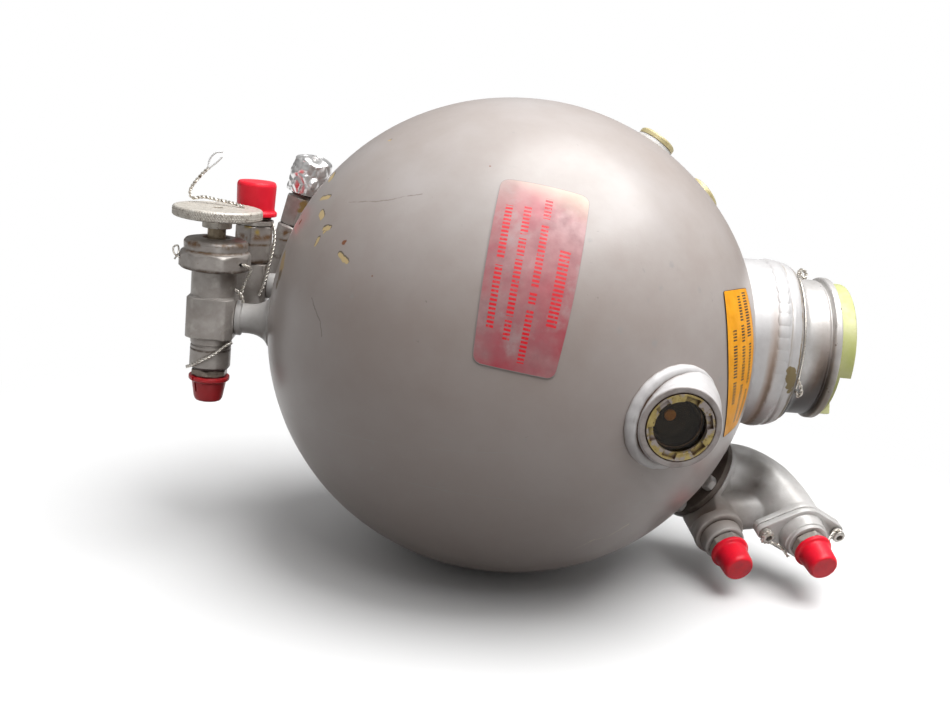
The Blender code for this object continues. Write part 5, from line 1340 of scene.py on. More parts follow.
class RESERVOIR_OT_outlet(bpy.types.Operator):
    """Outlet flange, cast two-port manifold, eared port plate, bolts and unions"""

    bl_idname = "reservoir.outlet"
    bl_label = "Outlet"

    def execute(self, context):
        cast = shared(casting_paint)
        metal = shared(steel)
        base = on_tank(OUTLET)
        home = place(base, OUTLET, EAR_LINE)
        flange = turned("outlet_tank_flange", [
            (0.0150, -0.010), (0.0245, -0.010), (0.0237, 0.0020, 0.003), (0.0215, 0.0055, 0.003),
            (0.0215, 0.0160), (0.0320, 0.0160), (0.0320, 0.0200), (0.0150, 0.0200)], home,
            stained_and_shaded_flange(), FINE, 0.0004)
        fit(flange, "root", "grey_enamel", "outlet_flange")

        foot = 0.0203
        casting = turned("outlet_casting", [
            (0.0, foot), (0.0320, foot), (0.0320, foot + 0.0018, 0.0002), (0.0312, foot + 0.0024, 0.0003),
            (0.0316, foot + 0.0030, 0.0003), (0.0312, foot + 0.0044, 0.0008), (0.0280, foot + 0.0046, 0.001),
            (0.0265, foot + 0.0066, 0.002), (0.0260, foot + 0.0100, 0.004), (0.0225, foot + 0.0155, 0.003),
            (0.0140, foot + 0.0172, 0.002), (0.0, foot + 0.0172)], home, cast, 80, 0.0005)
        middle = base + OUTLET * (foot + 0.008)
        back = PORT_A - PORT_AXIS * 0.0022
        a, b = middle + Vector((0.002, 0.0, 0.003)), middle + Vector((0.020, 0.002, 0.016))
        c, d = back - PORT_AXIS * 0.030, back
        path = []
        for i in range(25):
            t = i / 24
            s = 1 - t
            path.append(a * s ** 3 + 3 * b * s * s * t + 3 * c * s * t * t + d * t ** 3)
        centre = Matrix.Translation(CENTRE)
        radii = [0.0215 - 0.0035 * max(0.0, i / 24 - 0.6) / 0.4 for i in range(25)]
        elbow = swept("casting_elbow", path, radii, centre, cast, 48)
        drop = PORT_AXIS * 0.023
        web = swept("casting_web", [PORT_B - drop, (PORT_A + PORT_B) / 2 - drop, PORT_A - drop], 0.0140,
                    centre, cast, 48)
        port_a, port_b = PORT_A_HOME, PORT_B_HOME
        outline = eared_outline(0.0186, 0.0056, EAR_AT)
        backing = slab("casting_backing", outline, -0.0046, -0.0001, port_a, cast, 0.0006)
        lobe = turned("casting_lobe", [
            (0.0, -0.036), (0.0105, -0.035, 0.003), (0.0165, -0.030, 0.004), (0.0165, -0.0058, 0.0005),
            (0.0170, -0.0050, 0.0004), (0.0170, -0.0005), (0.0, -0.0001)], port_b, cast, 72, 0.0005)
        room = rod("casting_room", 0.045, -0.004, foot, home, cast)
        casting = combine(casting, elbow, lobe, web, operation="UNION")
        casting = combine(casting, room)
        casting = combine(casting, backing, operation="UNION")
        grid = casting.modifiers.new("cast_grid", "REMESH")
        grid.mode = "VOXEL"
        grid.voxel_size = sizes().casting_voxel
        soften = casting.modifiers.new("cast_corners", "SMOOTH")
        soften.factor = 0.5
        soften.iterations = 7
        casting = baked(casting, 60)
        if not casting.data.materials:
            casting.data.materials.append(cast)
        fit(casting, "root", "painted_casting", "outlet_manifold")

        plate = slab("port_plate_eared", outline, 0.0003, 0.0044, port_a, cast, 0.0007)
        boss = turned("port_plate_boss", [
            (0.0, 0.0034), (0.0160, 0.0034), (0.0150, 0.0058, 0.0012), (0.0146, 0.0120, 0.0004),
            (0.0136, 0.0125, 0.0003), (0.0136, 0.0150), (0.0, 0.0150)], port_a, cast, FINE, 0.0005)
        fit(combine(plate, boss, operation="UNION"), "root", "painted_casting", "port_plate")
        collar = turned("port_b_turned_collar", [
            (0.0, 0.0003), (0.0138, 0.0003), (0.0135, 0.0040, 0.001), (0.0135, 0.0080), (0.0125, 0.0090),
            (0.0, 0.0090)], port_b, cast, FINE, 0.0005)
        fit(collar, "root", "painted_casting", "port_b_collar")

        for number, side in enumerate((-1, 1), start=1):
            spot = place(PORT_A + EAR_LINE * side * EAR_AT, PORT_AXIS)
            low = 0.0047
            screw = turned(f"ear_screw_{number}", [
                (0.0, -0.0030), (0.0019, -0.0030), (0.0019, low), (0.0043, low),
                (0.0043, low + 0.0050, 0.0006),
                (0.0034, low + 0.0056, 0.0003), (0.0, low + 0.0056)], spot, metal, 48, 0.0002)
            key = rod(f"ear_socket_{number}", 0.0030, low + 0.0028, 0.02, spot, metal, 48, 0.0,
                      flats(HEXAGON, 0.0042))
            fit(combine(screw, key), "root", "stainless_steel", f"port_screw_{number}")

        paint = bolt_paint()
        head = turned("flange_bolt", [
            (0.0, 0.0112), (0.0040, 0.0112), (0.0054, 0.0120), (0.0054, 0.0150), (0.0052, 0.0157),
            (0.0022, 0.0157), (0.0022, 0.0228), (0.0, 0.0228)],
            Matrix.Identity(4), paint, 48, 0.0002, flats(HEXAGON, 0.0094, 0.0111, 0.0156))
        turn = Matrix.Rotation(math.tau / 12, 4, "Z")
        bolts = grown("flange_bolts", shared(ring_tree), home @ turn, {
            "Shape": head, "Count": 6, "Radius": 0.0272, "Size change": 0.0, "Seed": 1, "Finish": paint})
        discard(head)
        fit(bolts, "root", "stainless_steel", *[f"outlet_bolt_{i}" for i in range(1, 7)])
        for stem, spot, low in (("port_a", port_a, 0.0153), ("port_b", port_b, 0.0093)):
            fit(union_fitting(stem + "_union", spot, low, 0.0088, 0.0210, 0.0055, 0.0110),
                "root", "stainless_steel", stem + "_fitting")
        return {"FINISHED"}


class RESERVOIR_OT_vent_valve(bpy.types.Operator):
    """Screw-down vent valve: body, bonnet, stem, knurled wheel, disc and lower union"""

    bl_idname = "reservoir.vent_valve"
    bl_label = "Vent valve"

    def execute(self, context):
        metal = shared(valve_metal)
        block = slab("vent_valve_body", cut_square(0.0150, 0.0045), -0.01825, 0.00825,
                     VALVE_HOME, metal, 0.0011)
        column = turned("valve_columns", [
            (0.0, 0.02525), (0.01425, 0.02525), (0.01425, 0.0090, 0.0), (0.0145, 0.0076, 0.0),
            (0.0131, -0.0176, 0.0), (0.0131, -0.0205, 0.0005), (0.0130, -0.02255, 0.0002),
            (0.0122, -0.0230, 0.0002), (0.0122, -0.0238, 0.0002), (0.0128, -0.0242, 0.0002),
            (0.0129, -0.0256, 0.0002), (0.0126, -0.0259, 0.0001), (0.0129, -0.0262, 0.0002),
            (0.0130, -0.0374),
            (0.0117, -0.03925), (0.0, -0.03925)], VALVE_HOME, metal, FINE, 0.0004)
        body = combine(block, column, operation="UNION")
        side = rod("valve_side_boss", 0.0112, 0.010, 0.01525,
                   place(VALVE + Vector((0, 0, -0.005)), ALONG), metal, 64, 0.0003)
        body = combine(body, side, operation="UNION")
        fit(body, "root", "bare_aluminium", "valve_body")

        wall = skin_x(0.0, -0.005)
        reach = 0.192 - 0.015 - 0.0005
        stub = turned("vent_stub_tube", [
            (0.005, wall - 0.010), (0.0175, wall - 0.010), (0.0165, wall - 0.0002, 0.0),
            (0.0130, wall + 0.0022, 0.003), (0.0104, wall + 0.0068, 0.004), (0.0095, wall + 0.0112, 0.002),
            (0.0095, reach - 0.0040, 0.0006),
            (0.0112, reach - 0.0034, 0.0006), (0.0112, reach, 0.0004), (0.005, reach)],
            place((0.0, 0.0, -0.005), (-1, 0, 0)), shared(fitting_paint), FINE, 0.0005)
        fit(stub, "root", "grey_enamel", "vent_stub")

        low = 0.02555
        shoulder = 0.03705
        crown = 0.04555
        wide = 0.0430
        tip = wide / 2 / math.cos(math.pi / OCTAGON)
        bonnet = turned("vent_valve_bonnet", [
            (0.0060, 0.0160), (0.0086, 0.0160), (0.0086, low), (wide / 2 - 0.0005, low),
            (tip, low + 0.0022, 0.0004), (tip, shoulder - 0.0030, 0.0004),
            (wide / 2 - 0.0002, shoulder - 0.0006, 0.0005), (0.0203, shoulder, 0.0008),
            (0.0198, shoulder + 0.0008, 0.0004), (0.0200, crown - 0.0032, 0.0008),
            (0.0188, crown - 0.0014, 0.0010), (0.0120, crown, 0.0012), (0.0088, crown - 0.0003, 0.0003),
            (0.0080, crown - 0.0016, 0.0003),
            (0.0060, crown - 0.0016)], VALVE_HOME, metal, FINE, 0.0004,
            flats(OCTAGON, wide, low - 0.0001, shoulder - 0.0001))
        holes = []
        for turn in (-0.42, 3.55):
            spot = VALVE_HOME @ Matrix.Rotation(turn, 4, "Z") @ Matrix.Translation((0.0195, 0.0, 0.0312))
            lean = spot @ Matrix.Rotation(math.radians(28), 4, "Z") @ Matrix.Rotation(math.pi / 2, 4, "X")
            holes.append(rod("wire_hole", 0.0011, -0.02, 0.02, lean, metal, 16))
        fit(combine(bonnet, *holes), "root", "bare_aluminium", "valve_bonnet")

        disc = turned("vent_valve_disc", [
            (0.0, -0.01865), (0.0040, -0.01865), (0.0078, -0.01505), (0.0078, -0.01365), (0.0, -0.01365)],
            VALVE_HOME, shared(steel), 64, 0.0003)
        fit(disc, "valve_disc", "bare_aluminium", "valve_poppet")
        stem = turned("vent_valve_stem", [
            (0.0, -0.01335), (0.0049, -0.01335), (0.0057, -0.01255), (0.0057, 0.05125), (0.0032, 0.05125),
            (0.0032, 0.06335), (0.0, 0.06335)], VALVE_HOME, shared(hub_coat), 64, 0.0003)
        slot = slab("stem_slot", box(-0.01, 0.01, -0.0006, 0.0006), 0.06195, 0.08, VALVE_HOME, metal, 0.0)
        fit(combine(stem, slot), "valve_stem", "stainless_steel", "valve_spindle")
        fit(self.wheel(), "valve_stem", "bare_aluminium", "handwheel")

        grimed = steel("grimed_steel_fitting", ("877D72", "665C52"), "4A3E33")
        fit(union_fitting("vent_union", VENT_HOME, 0.0, 0.0090, 0.0210, 0.0045, 0.0095, coat=grimed),
            "root", "stainless_steel", "vent_fitting")
        return {"FINISHED"}

    def wheel(self):
        """Dished wheel with a rolled diamond knurl on its rim, and its hub."""
        depth = sizes().knurl_depth
        ridges = 104
        low = 0.05755
        top = 0.06455

        def knurl(turn, radius, height):
            if radius < 0.0270:
                return radius
            slant = (height - low) / (top - low) * 5.0 * math.pi
            first = abs(math.sin(turn * ridges / 2 + slant / 2))
            second = abs(math.sin(turn * ridges / 2 - slant / 2))
            return radius - depth * (1.0 - min(first, second)) * min(1.0, (radius - 0.0270) / 0.0006)

        rim = [(0.0274, top - 0.0006, 0.0), (0.0279, top - 0.0014, 0.0)]
        rim += [(0.0280, top - 0.0014 - (top - low - 0.0028) * i / 10, 0.0) for i in range(1, 10)]
        rim += [(0.0279, low + 0.0014, 0.0), (0.0274, low + 0.0006, 0.0)]
        outline = [(0.0035, top - 0.0012), (0.0035, top - 0.0004), (0.0060, top - 0.0006, 0.001),
                   (0.0245, top - 0.0001, 0.0004),
                   (0.0262, top, 0.0008)] + rim
        outline += [(0.0255, low, 0.0006), (0.0235, low + 0.0006, 0.0008), (0.0105, low + 0.0004, 0.0008),
                    (0.0092, low - 0.0008, 0.0008), (0.0092, 0.05155), (0.0035, 0.05155)]
        return turned("vent_handwheel", outline, VALVE_HOME, shared(wheel_metal),
                      ridges * 5, 0.0003, knurl, 48)


def elbow_stub(name, at, deep, reach):
    """Short tube from a little inside the tank's wall to the elbow at a point."""
    wall = skin_x(at.y, at.z)
    return turned(name, [
        (0.005, wall - deep), (0.0135, wall - deep), (0.0125, wall + 0.0006, 0.001),
        (0.0092, wall + 0.0060, 0.003), (0.0085, reach), (0.005, reach)],
        place((0, at.y, at.z), (-1, 0, 0)), shared(fitting_paint), 72, 0.0004)


class RESERVOIR_OT_pressure_fitting(bpy.types.Operator):
    """Elbow block, long union and lock ring behind the valve"""

    bl_idname = "reservoir.pressure_fitting"
    bl_label = "Pressure fitting"

    def execute(self, context):
        metal = shared(valve_metal)
        home = PRESSURE_HOME
        stub = elbow_stub("pressure_stub_tube", PRESSURE, 0.014, -PRESSURE.x - 0.011 - 0.0003)
        fit(stub, "root", "grey_enamel", "pressure_stub")
        block = slab("pressure_elbow_block", cut_square(0.011, 0.0025), -0.0165, 0.0155, home, metal, 0.0009)
        fit(block, "root", "painted_casting", "pressure_elbow")
        body = union_fitting("pressure_union", home, 0.0158, 0.0108, 0.0230, 0.0250, 0.0200, 0.0060, metal)
        fit(body, "root", "stainless_steel", "pressure_adapter")
        low = 0.0411
        ring = turned("pressure_lock_nut", [
            (0.0111, low), (0.0125, low), (0.0125, low + 0.0030), (0.0111, low + 0.0030)],
            home, shared(steel), FINE, 0.0003)
        fit(ring, "root", "stainless_steel", "pressure_lock_ring")
        return {"FINISHED"}


class RESERVOIR_OT_return_fitting(bpy.types.Operator):
    """Leaning elbow, its union and the foil crushed over the end"""

    bl_idname = "reservoir.return_fitting"
    bl_label = "Return fitting"

    def execute(self, context):
        metal = shared(valve_metal)
        home = RETURN_HOME
        stub = elbow_stub("return_stub_tube", RETURN, 0.024, -RETURN.x - 0.0085)
        fit(stub, "root", "grey_enamel", "return_stub")
        body = turned("return_elbow_body", [
            (0.0, -0.0130), (0.0095, -0.0130, 0.002), (0.0115, -0.0110, 0.001), (0.0115, 0.0285),
            (0.0100, 0.0300),
            (0.0, 0.0300)], home, metal, FINE, 0.0005)
        fit(body, "root", "painted_casting", "return_elbow")
        nut = union_fitting("return_union_nut", home, 0.0303, 0.0085, 0.0200, 0.0200, 0.0200, 0.0052, metal)
        fit(nut, "root", "stainless_steel", "return_union")
        fit(self.foil(home), "root", "aluminium_foil", "foil_wrap")
        return {"FINISHED"}

    def foil(self, home):
        """Foil pressed over the open end: folds run down it, and facets break its face."""
        low, height, wide, inner = 0.0533, 0.0262, 0.0143, 0.0090
        sides, rows = 150, 56
        bm = bmesh.new()
        rings = []

        def ring(radius_of, z_of):
            made = []
            for k in range(sides):
                turn = math.tau * k / sides
                radius, z = radius_of(turn), z_of(turn)
                made.append(bm.verts.new((radius * math.cos(turn), radius * math.sin(turn), z)))
            rings.append(made)

        ring(lambda t: inner, lambda t: low + 0.018)
        ring(lambda t: inner, lambda t: low + 0.0004)
        for row in range(rows + 1):
            part = row / rows

            def reach(turn, part=part):
                form = 0.80 + 0.20 * math.sin(min(part * 1.35, 1.0) * math.pi * 0.62) - 0.10 * part
                if part > 0.84:
                    form *= math.sqrt(max(0.0, 1.0 - ((part - 0.84) / 0.16) ** 2)) * 0.9 + 0.1
                spot = Vector((math.cos(turn) * 1.7, math.sin(turn) * 1.7, part * 3.2 + 3.0))
                near = noise.voronoi(spot)[0]
                fold = min(near[1] - near[0], 0.5)
                lump = noise.noise(spot * 0.8)
                return wide * (form + 0.13 * fold - 0.045 + 0.09 * lump)

            def lift(turn, part=part):
                spot = Vector((math.cos(turn) * 1.6, math.sin(turn) * 1.6, 9.0))
                return low + height * part + 0.0024 * noise.noise(spot) * part
            ring(reach, lift)
        for a, b in zip(rings, rings[1:]):
            for k in range(sides):
                bm.faces.new((a[k - 1], a[k], b[k], b[k - 1]))
        for last in (rings[0], rings[-1]):
            hub = bm.verts.new(sum((v.co for v in last), Vector()) / sides)
            for k in range(sides):
                bm.faces.new((last[k - 1], last[k], hub))
        bmesh.ops.triangulate(bm, faces=bm.faces)
        return keep("crushed_foil", bm, home, kitchen_foil(), 14)


class RESERVOIR_OT_dust_caps(bpy.types.Operator):
    """Four red push-on dust caps, each on its own body"""

    bl_idname = "reservoir.dust_caps"
    bl_label = "Dust caps"

    def execute(self, context):
        red = red_plastic("red_polyethylene", colours().dust_cap, "DC2238")
        pink = red_plastic("red_polyethylene_faded", "EE2438", "E61E34")
        dull = red_plastic("red_polyethylene_old", "CC3238", "B42A30")
        for stem, home, *sizes_and_coat in (
                ("port_a", PORT_A_HOME, 0.0211, 0.0088, 0.0125, 0.0180, 0.0098, red),
                ("port_b", PORT_B_HOME, 0.0151, 0.0088, 0.0125, 0.0180, 0.0098, red),
                ("pressure", PRESSURE_HOME, 0.0470, 0.0108, 0.0142, 0.0225, 0.0130, pink),
                ("vent", VENT_HOME, 0.0048, 0.0090, 0.0130, 0.0165, 0.0092, dull, True)):
            fit(dust_cap(stem + "_red_cap", home, *sizes_and_coat),
                stem + "_dust_cap", "red_polyethylene", stem + "_cap")
        return {"FINISHED"}


def on_skin(point, lift):
    """The point moved onto the tank's skin, then lifted clear of it."""
    skin = on_tank(point)
    out = Vector((skin.x / HALF_LENGTH ** 2, skin.y / RADIUS ** 2, skin.z / RADIUS ** 2)).normalized()
    return skin + out * lift


def placard(name, corners, corner_mm, rim_mm, material, lift=0.0003, bulge=(0.0, 0.0), rows=60, columns=30):
    """Thin plate that follows the tank's skin, with round corners and a marked rim."""
    a, b, c, d = [Vector(p) for p in corners]
    tall = ((a - d).length + (b - c).length) / 2 * 1000
    wide = ((a - b).length + (d - c).length) / 2 * 1000

    def width_at(y, inset):
        """Half width in millimetres at a distance from the end."""
        end = min(y, tall - y) - inset
        corner = max(corner_mm - inset, 0.1)
        half = wide / 2 - inset
        if end < corner:
            return half - corner + math.sqrt(max(0.0, corner ** 2 - (corner - max(end, 0.0)) ** 2))
        return half

    steps = [0.0, 0.15, 0.5, 1.0, 1.8, 3.0]
    steps = [s for s in steps if s < corner_mm] + [corner_mm]
    heights = list(steps)
    heights += [corner_mm + (tall - 2 * corner_mm) * i / rows for i in range(1, rows)]
    heights += [tall - s for s in reversed(steps)]
    heights = sorted(set(heights + [rim_mm, tall - rim_mm]))
    bm = bmesh.new()
    uv = bm.loops.layers.uv.new("plate")
    rim = bm.verts.layers.float.new("rim")
    grid = []
    for y in heights:
        outer = width_at(y, 0.0)
        inside = rim_mm <= y <= tall - rim_mm
        edge = max(width_at(y, rim_mm), 0.0) if inside else max(outer - rim_mm, outer * 0.9)
        edge = min(edge, outer - 0.02)
        xs = [-outer] + [-edge + 2 * edge * i / columns for i in range(columns + 1)] + [outer]
        row = []
        for k, x in enumerate(xs):
            s, t = 0.5 + x / wide, y / tall
            flat = (a * (1 - s) + b * s) * (1 - t) + (d * (1 - s) + c * s) * t
            flat = flat + (b - a).normalized() * math.sin(math.pi * t) * (bulge[1] * s - bulge[0] * (1 - s))
            vert = bm.verts.new(on_skin(flat, lift))
            vert[rim] = 0.0 if inside and 0 < k < len(xs) - 1 else 1.0
            row.append((vert, (s, 1 - t)))
        grid.append(row)
    for low, high in zip(grid, grid[1:]):
        for k in range(len(low) - 1):
            four = (low[k], low[k + 1], high[k + 1], high[k])
            face = bm.faces.new([v for v, _ in four])
            for loop, (_, at) in zip(face.loops, four):
                loop[uv].uv = at
    bmesh.ops.recalc_face_normals(bm, faces=bm.faces)
    face = next(iter(bm.faces))
    if face.normal.dot(face.calc_center_median()) < 0:
        bmesh.ops.reverse_faces(bm, faces=bm.faces)
    mesh = bpy.data.meshes.new(name)
    bm.transform(Matrix.Translation(CENTRE))
    bm.to_mesh(mesh)
    bm.free()
    mesh.materials.append(material)
    piece = show(name, mesh)
    wall = piece.modifiers.new("plate_thickness", "SOLIDIFY")
    wall.thickness = 0.0003
    wall.offset = 0.0
    return baked(piece)


class RESERVOIR_OT_placards(bpy.types.Operator):
    """Two unlettered placards on the tank: one foil, one yellow"""

    bl_idname = "reservoir.placards"
    bl_label = "Placards"

    def execute(self, context):
        red_bars = [(0.815, 0.058, 0.26, 0.65), (0.56, 0.040, 0.79, 0.914), (0.56, 0.040, 0.43, 0.76),
                    (0.56, 0.040, 0.35, 0.405), (0.56, 0.040, 0.05, 0.32), (0.35, 0.040, 0.68, 0.84),
                    (0.35, 0.040, 0.57, 0.66), (0.35, 0.040, 0.27, 0.55), (0.35, 0.040, 0.145, 0.25),
                    (0.15, 0.040, 0.54, 0.83), (0.15, 0.040, 0.19, 0.505)]
        foil_plate = plate_print(
            "printed_foil_placard", ("A68080", "946D6F"), "D6081E", red_bars, 46.0, "8F8684", 0.42, 0.10, (
                (cloud(46.0, 0.44, 0.64, 3.0), "AC4C58"),
                (both(cloud(44.0, 0.38, 0.62, 7.0), beyond((-0.5, 0.0, -1.0), -62.0, 22.0)), "A83C48"),
                (cloud(26.0, 0.56, 0.74, 9.0), "A89B99"),
                (beyond((-0.3, 0.0, 1.0), 100.0, 11.0), "A8948E"),
                (beyond((0.45, 0.0, 1.0), 101.0, 12.0), "DCCBB2")))
        fit(placard("tank_placard", ((-0.0236, -0.1032, 0.1078), (0.0246, -0.1081, 0.1027),
                                     (0.0119, -0.1502, 0.0109), (-0.0314, -0.1471, 0.0156)),
                    5.0, 0.5, foil_plate), "root", "aluminium_foil")
        black_bars = [(0.76, 0.085, 0.66, 0.97), (0.78, 0.055, 0.33, 0.62), (0.78, 0.055, 0.06, 0.30),
                      (0.50, 0.055, 0.78, 0.95), (0.50, 0.055, 0.64, 0.75), (0.50, 0.055, 0.38, 0.61),
                      (0.50, 0.055, 0.07, 0.35), (0.22, 0.055, 0.66, 0.74), (0.22, 0.055, 0.42, 0.63),
                      (0.22, 0.055, 0.24, 0.39)]
        yellow_plate = plate_print(
            "printed_yellow_placard", (colours().placard, "E89A00"), "1C1814", black_bars, 50.0,
            "241E18", 0.55, 0.0)
        fit(placard("neck_placard", ((0.1087, -0.0917, 0.0570), (0.1292, -0.0629, 0.0557),
                                     (0.1340, -0.0700, -0.0260), (0.1235, -0.0875, -0.0300)),
                    1.2, 0.5, yellow_plate, bulge=(0.0075, 0.0060)), "root", "aluminium_foil")
        return {"FINISHED"}


def wire(name, points, single=False):
    """Lockwire through points from the tank's centre: a twisted pair, or one strand."""
    path = [CENTRE + p for p in curve_through(points, 8)]
    steel_wire = shared(wire_steel)
    if single:
        return swept(name, path, sizes().wire, Matrix.Identity(4), steel_wire, 8)
    mesh = bpy.data.meshes.new(name)
    mesh.from_pydata([tuple(p) for p in path], [(i, i + 1) for i in range(len(path) - 1)], [])
    return grown(name, shared(twist_tree), None, {
        "Pitch": sizes().wire_pitch, "Wire": sizes().wire, "Finish": steel_wire}, mesh, 60)


def ring_point(x, radius, degrees):
    """Point on the filler neck at an angle from the top, turning towards the front."""
    turn = math.radians(degrees)
    return Vector((x, -radius * math.sin(turn), NECK_HEIGHT + radius * math.cos(turn)))


class RESERVOIR_OT_lockwires(bpy.types.Operator):
    """Twisted lockwires on the wheel, bonnet, fittings, neck and outlet"""

    bl_idname = "reservoir.lockwires"
    bl_label = "Lockwires"

    def execute(self, context):
        def by_valve(*points):
            return [VALVE + Vector(p) for p in points]

        wheel = wire("wheel_wire", by_valve(
            (0.0150, 0.0080, 0.0652), (0.0060, 0.0120, 0.0664), (-0.0040, 0.0145, 0.0672),
            (-0.0120, 0.0150, 0.0680), (-0.0185, 0.0140, 0.0668), (-0.0205, 0.0130, 0.0700),
            (-0.0190, 0.0135, 0.0750), (-0.0140, 0.0140, 0.0820),
            (-0.0095, 0.0145, 0.0870)))
        ends = [wire(f"wheel_wire_end_{i}", by_valve(*points), True) for i, points in enumerate((
            ((-0.0100, 0.0145, 0.0862), (-0.0095, 0.0150, 0.0920), (-0.0060, 0.0150, 0.0965),
             (-0.0015, 0.0150, 0.0975)),
            ((-0.0100, 0.0145, 0.0862), (-0.0050, 0.0140, 0.0905), (-0.0015, 0.0140, 0.0945))))]
        fit(merge(wheel, *ends), "valve_stem", "stainless_steel")

        for name, points in (
                ("lower_wire", [
                    (0.0150, -0.0095, -0.0195), (0.0115, -0.0112, -0.0215), (0.0050, -0.0140, -0.0270),
                    (-0.0030, -0.0142, -0.0320), (-0.0098, -0.0102, -0.0365), (-0.0140, -0.0040, -0.0395)]),
                ("bonnet_wire", [
                    (0.0190, -0.0130, 0.0315), (0.0228, -0.0110, 0.0300), (0.0235, -0.0060, 0.0270),
                    (0.0200, -0.0040, 0.0190), (0.0180, -0.0040, 0.0110)]),
                ("block_wire", [
                    (0.0148, -0.0080, 0.0150), (0.0185, -0.0070, 0.0110), (0.0200, -0.0060, 0.0060)])):
            fit(wire(name, by_valve(*points)), "root", "stainless_steel")
        knot = wire("bonnet_knot", by_valve(
            (-0.0205, -0.0100, 0.0320), (-0.0240, -0.0090, 0.0340), (-0.0250, -0.0070, 0.0375),
            (-0.0225, -0.0060, 0.0385), (-0.0215, -0.0085, 0.0345), (-0.0235, -0.0100, 0.0305)), True)
        fit(knot, "root", "stainless_steel")

        pressure = wire("pressure_wire", [PRESSURE + Vector(p) for p in (
            (0.0120, -0.0040, 0.0435), (0.0142, -0.0050, 0.0360), (0.0140, -0.0070, 0.0260),
            (0.0118, -0.0100, 0.0120),
            (0.0100, -0.0120, 0.0020), (0.0075, -0.0122, -0.0050))])
        fit(pressure, "root", "stainless_steel")

        groove = [ring_point(0.1753, 0.0508, 20 + 9 * i) for i in range(11)]
        neck = wire("neck_wire", groove, True)
        tail = wire("neck_wire_tail", [
            ring_point(0.1750, 0.0510, 103), ring_point(0.1770, 0.0535, 107), ring_point(0.1785, 0.0530, 112),
            ring_point(0.1775, 0.0510, 116), ring_point(0.1758, 0.0515, 112)])
        knot = wire("neck_wire_knot", [
            ring_point(0.1750, 0.0510, 18), ring_point(0.1765, 0.0540, 16), ring_point(0.1795, 0.0535, 18),
            ring_point(0.1790, 0.0515, 22), ring_point(0.1762, 0.0520, 22), ring_point(0.1762, 0.0545, 18)])
        fit(merge(neck, tail, knot), "root", "stainless_steel")

        out = PORT_AXIS * 0.0085
        left = PORT_A - EAR_LINE * EAR_AT + out
        right = PORT_A + EAR_LINE * EAR_AT + out
        up = PORT_AXIS.cross(EAR_LINE)
        drop = PORT_AXIS * 0.0095
        outlet = wire("outlet_wire", [
            left + up * 0.0046, left + up * 0.0030 - EAR_LINE * 0.0040,
            left - up * 0.0040 - EAR_LINE * 0.0030,
            left - up * 0.0055 + EAR_LINE * 0.0040, PORT_A - EAR_LINE * 0.0150 - up * 0.0080 + drop,
            PORT_A - EAR_LINE * 0.0120 - up * 0.0100 + PORT_AXIS * 0.017])
        second = wire("outlet_wire_right", [
            right + up * 0.0046, right + up * 0.0040 - EAR_LINE * 0.0040,
            PORT_A + EAR_LINE * 0.0160 + up * 0.0030 + PORT_AXIS * 0.0140,
            PORT_A + EAR_LINE * 0.0120 + up * 0.0020 + PORT_AXIS * 0.0190])
        fit(merge(outlet, second), "root", "stainless_steel")
        return {"FINISHED"}


class RESERVOIR_OT_inner_parts(bpy.types.Operator):
    """Finishes for the inner pieces, whose CAD shapes stay"""

    bl_idname = "reservoir.inner_parts"
    bl_label = "Inner parts"

    def execute(self, context):
        for make, names in (
                (inner_steel, ("element_base", "element_tube", "element_cap",
                               "vent_standpipe", "return_diffuser")),
                (pleat_paper, ("element_pleats",))):
            for name in names:
                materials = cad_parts[name].data.materials
                materials.clear()
                materials.append(shared(make))
        return {"FINISHED"}


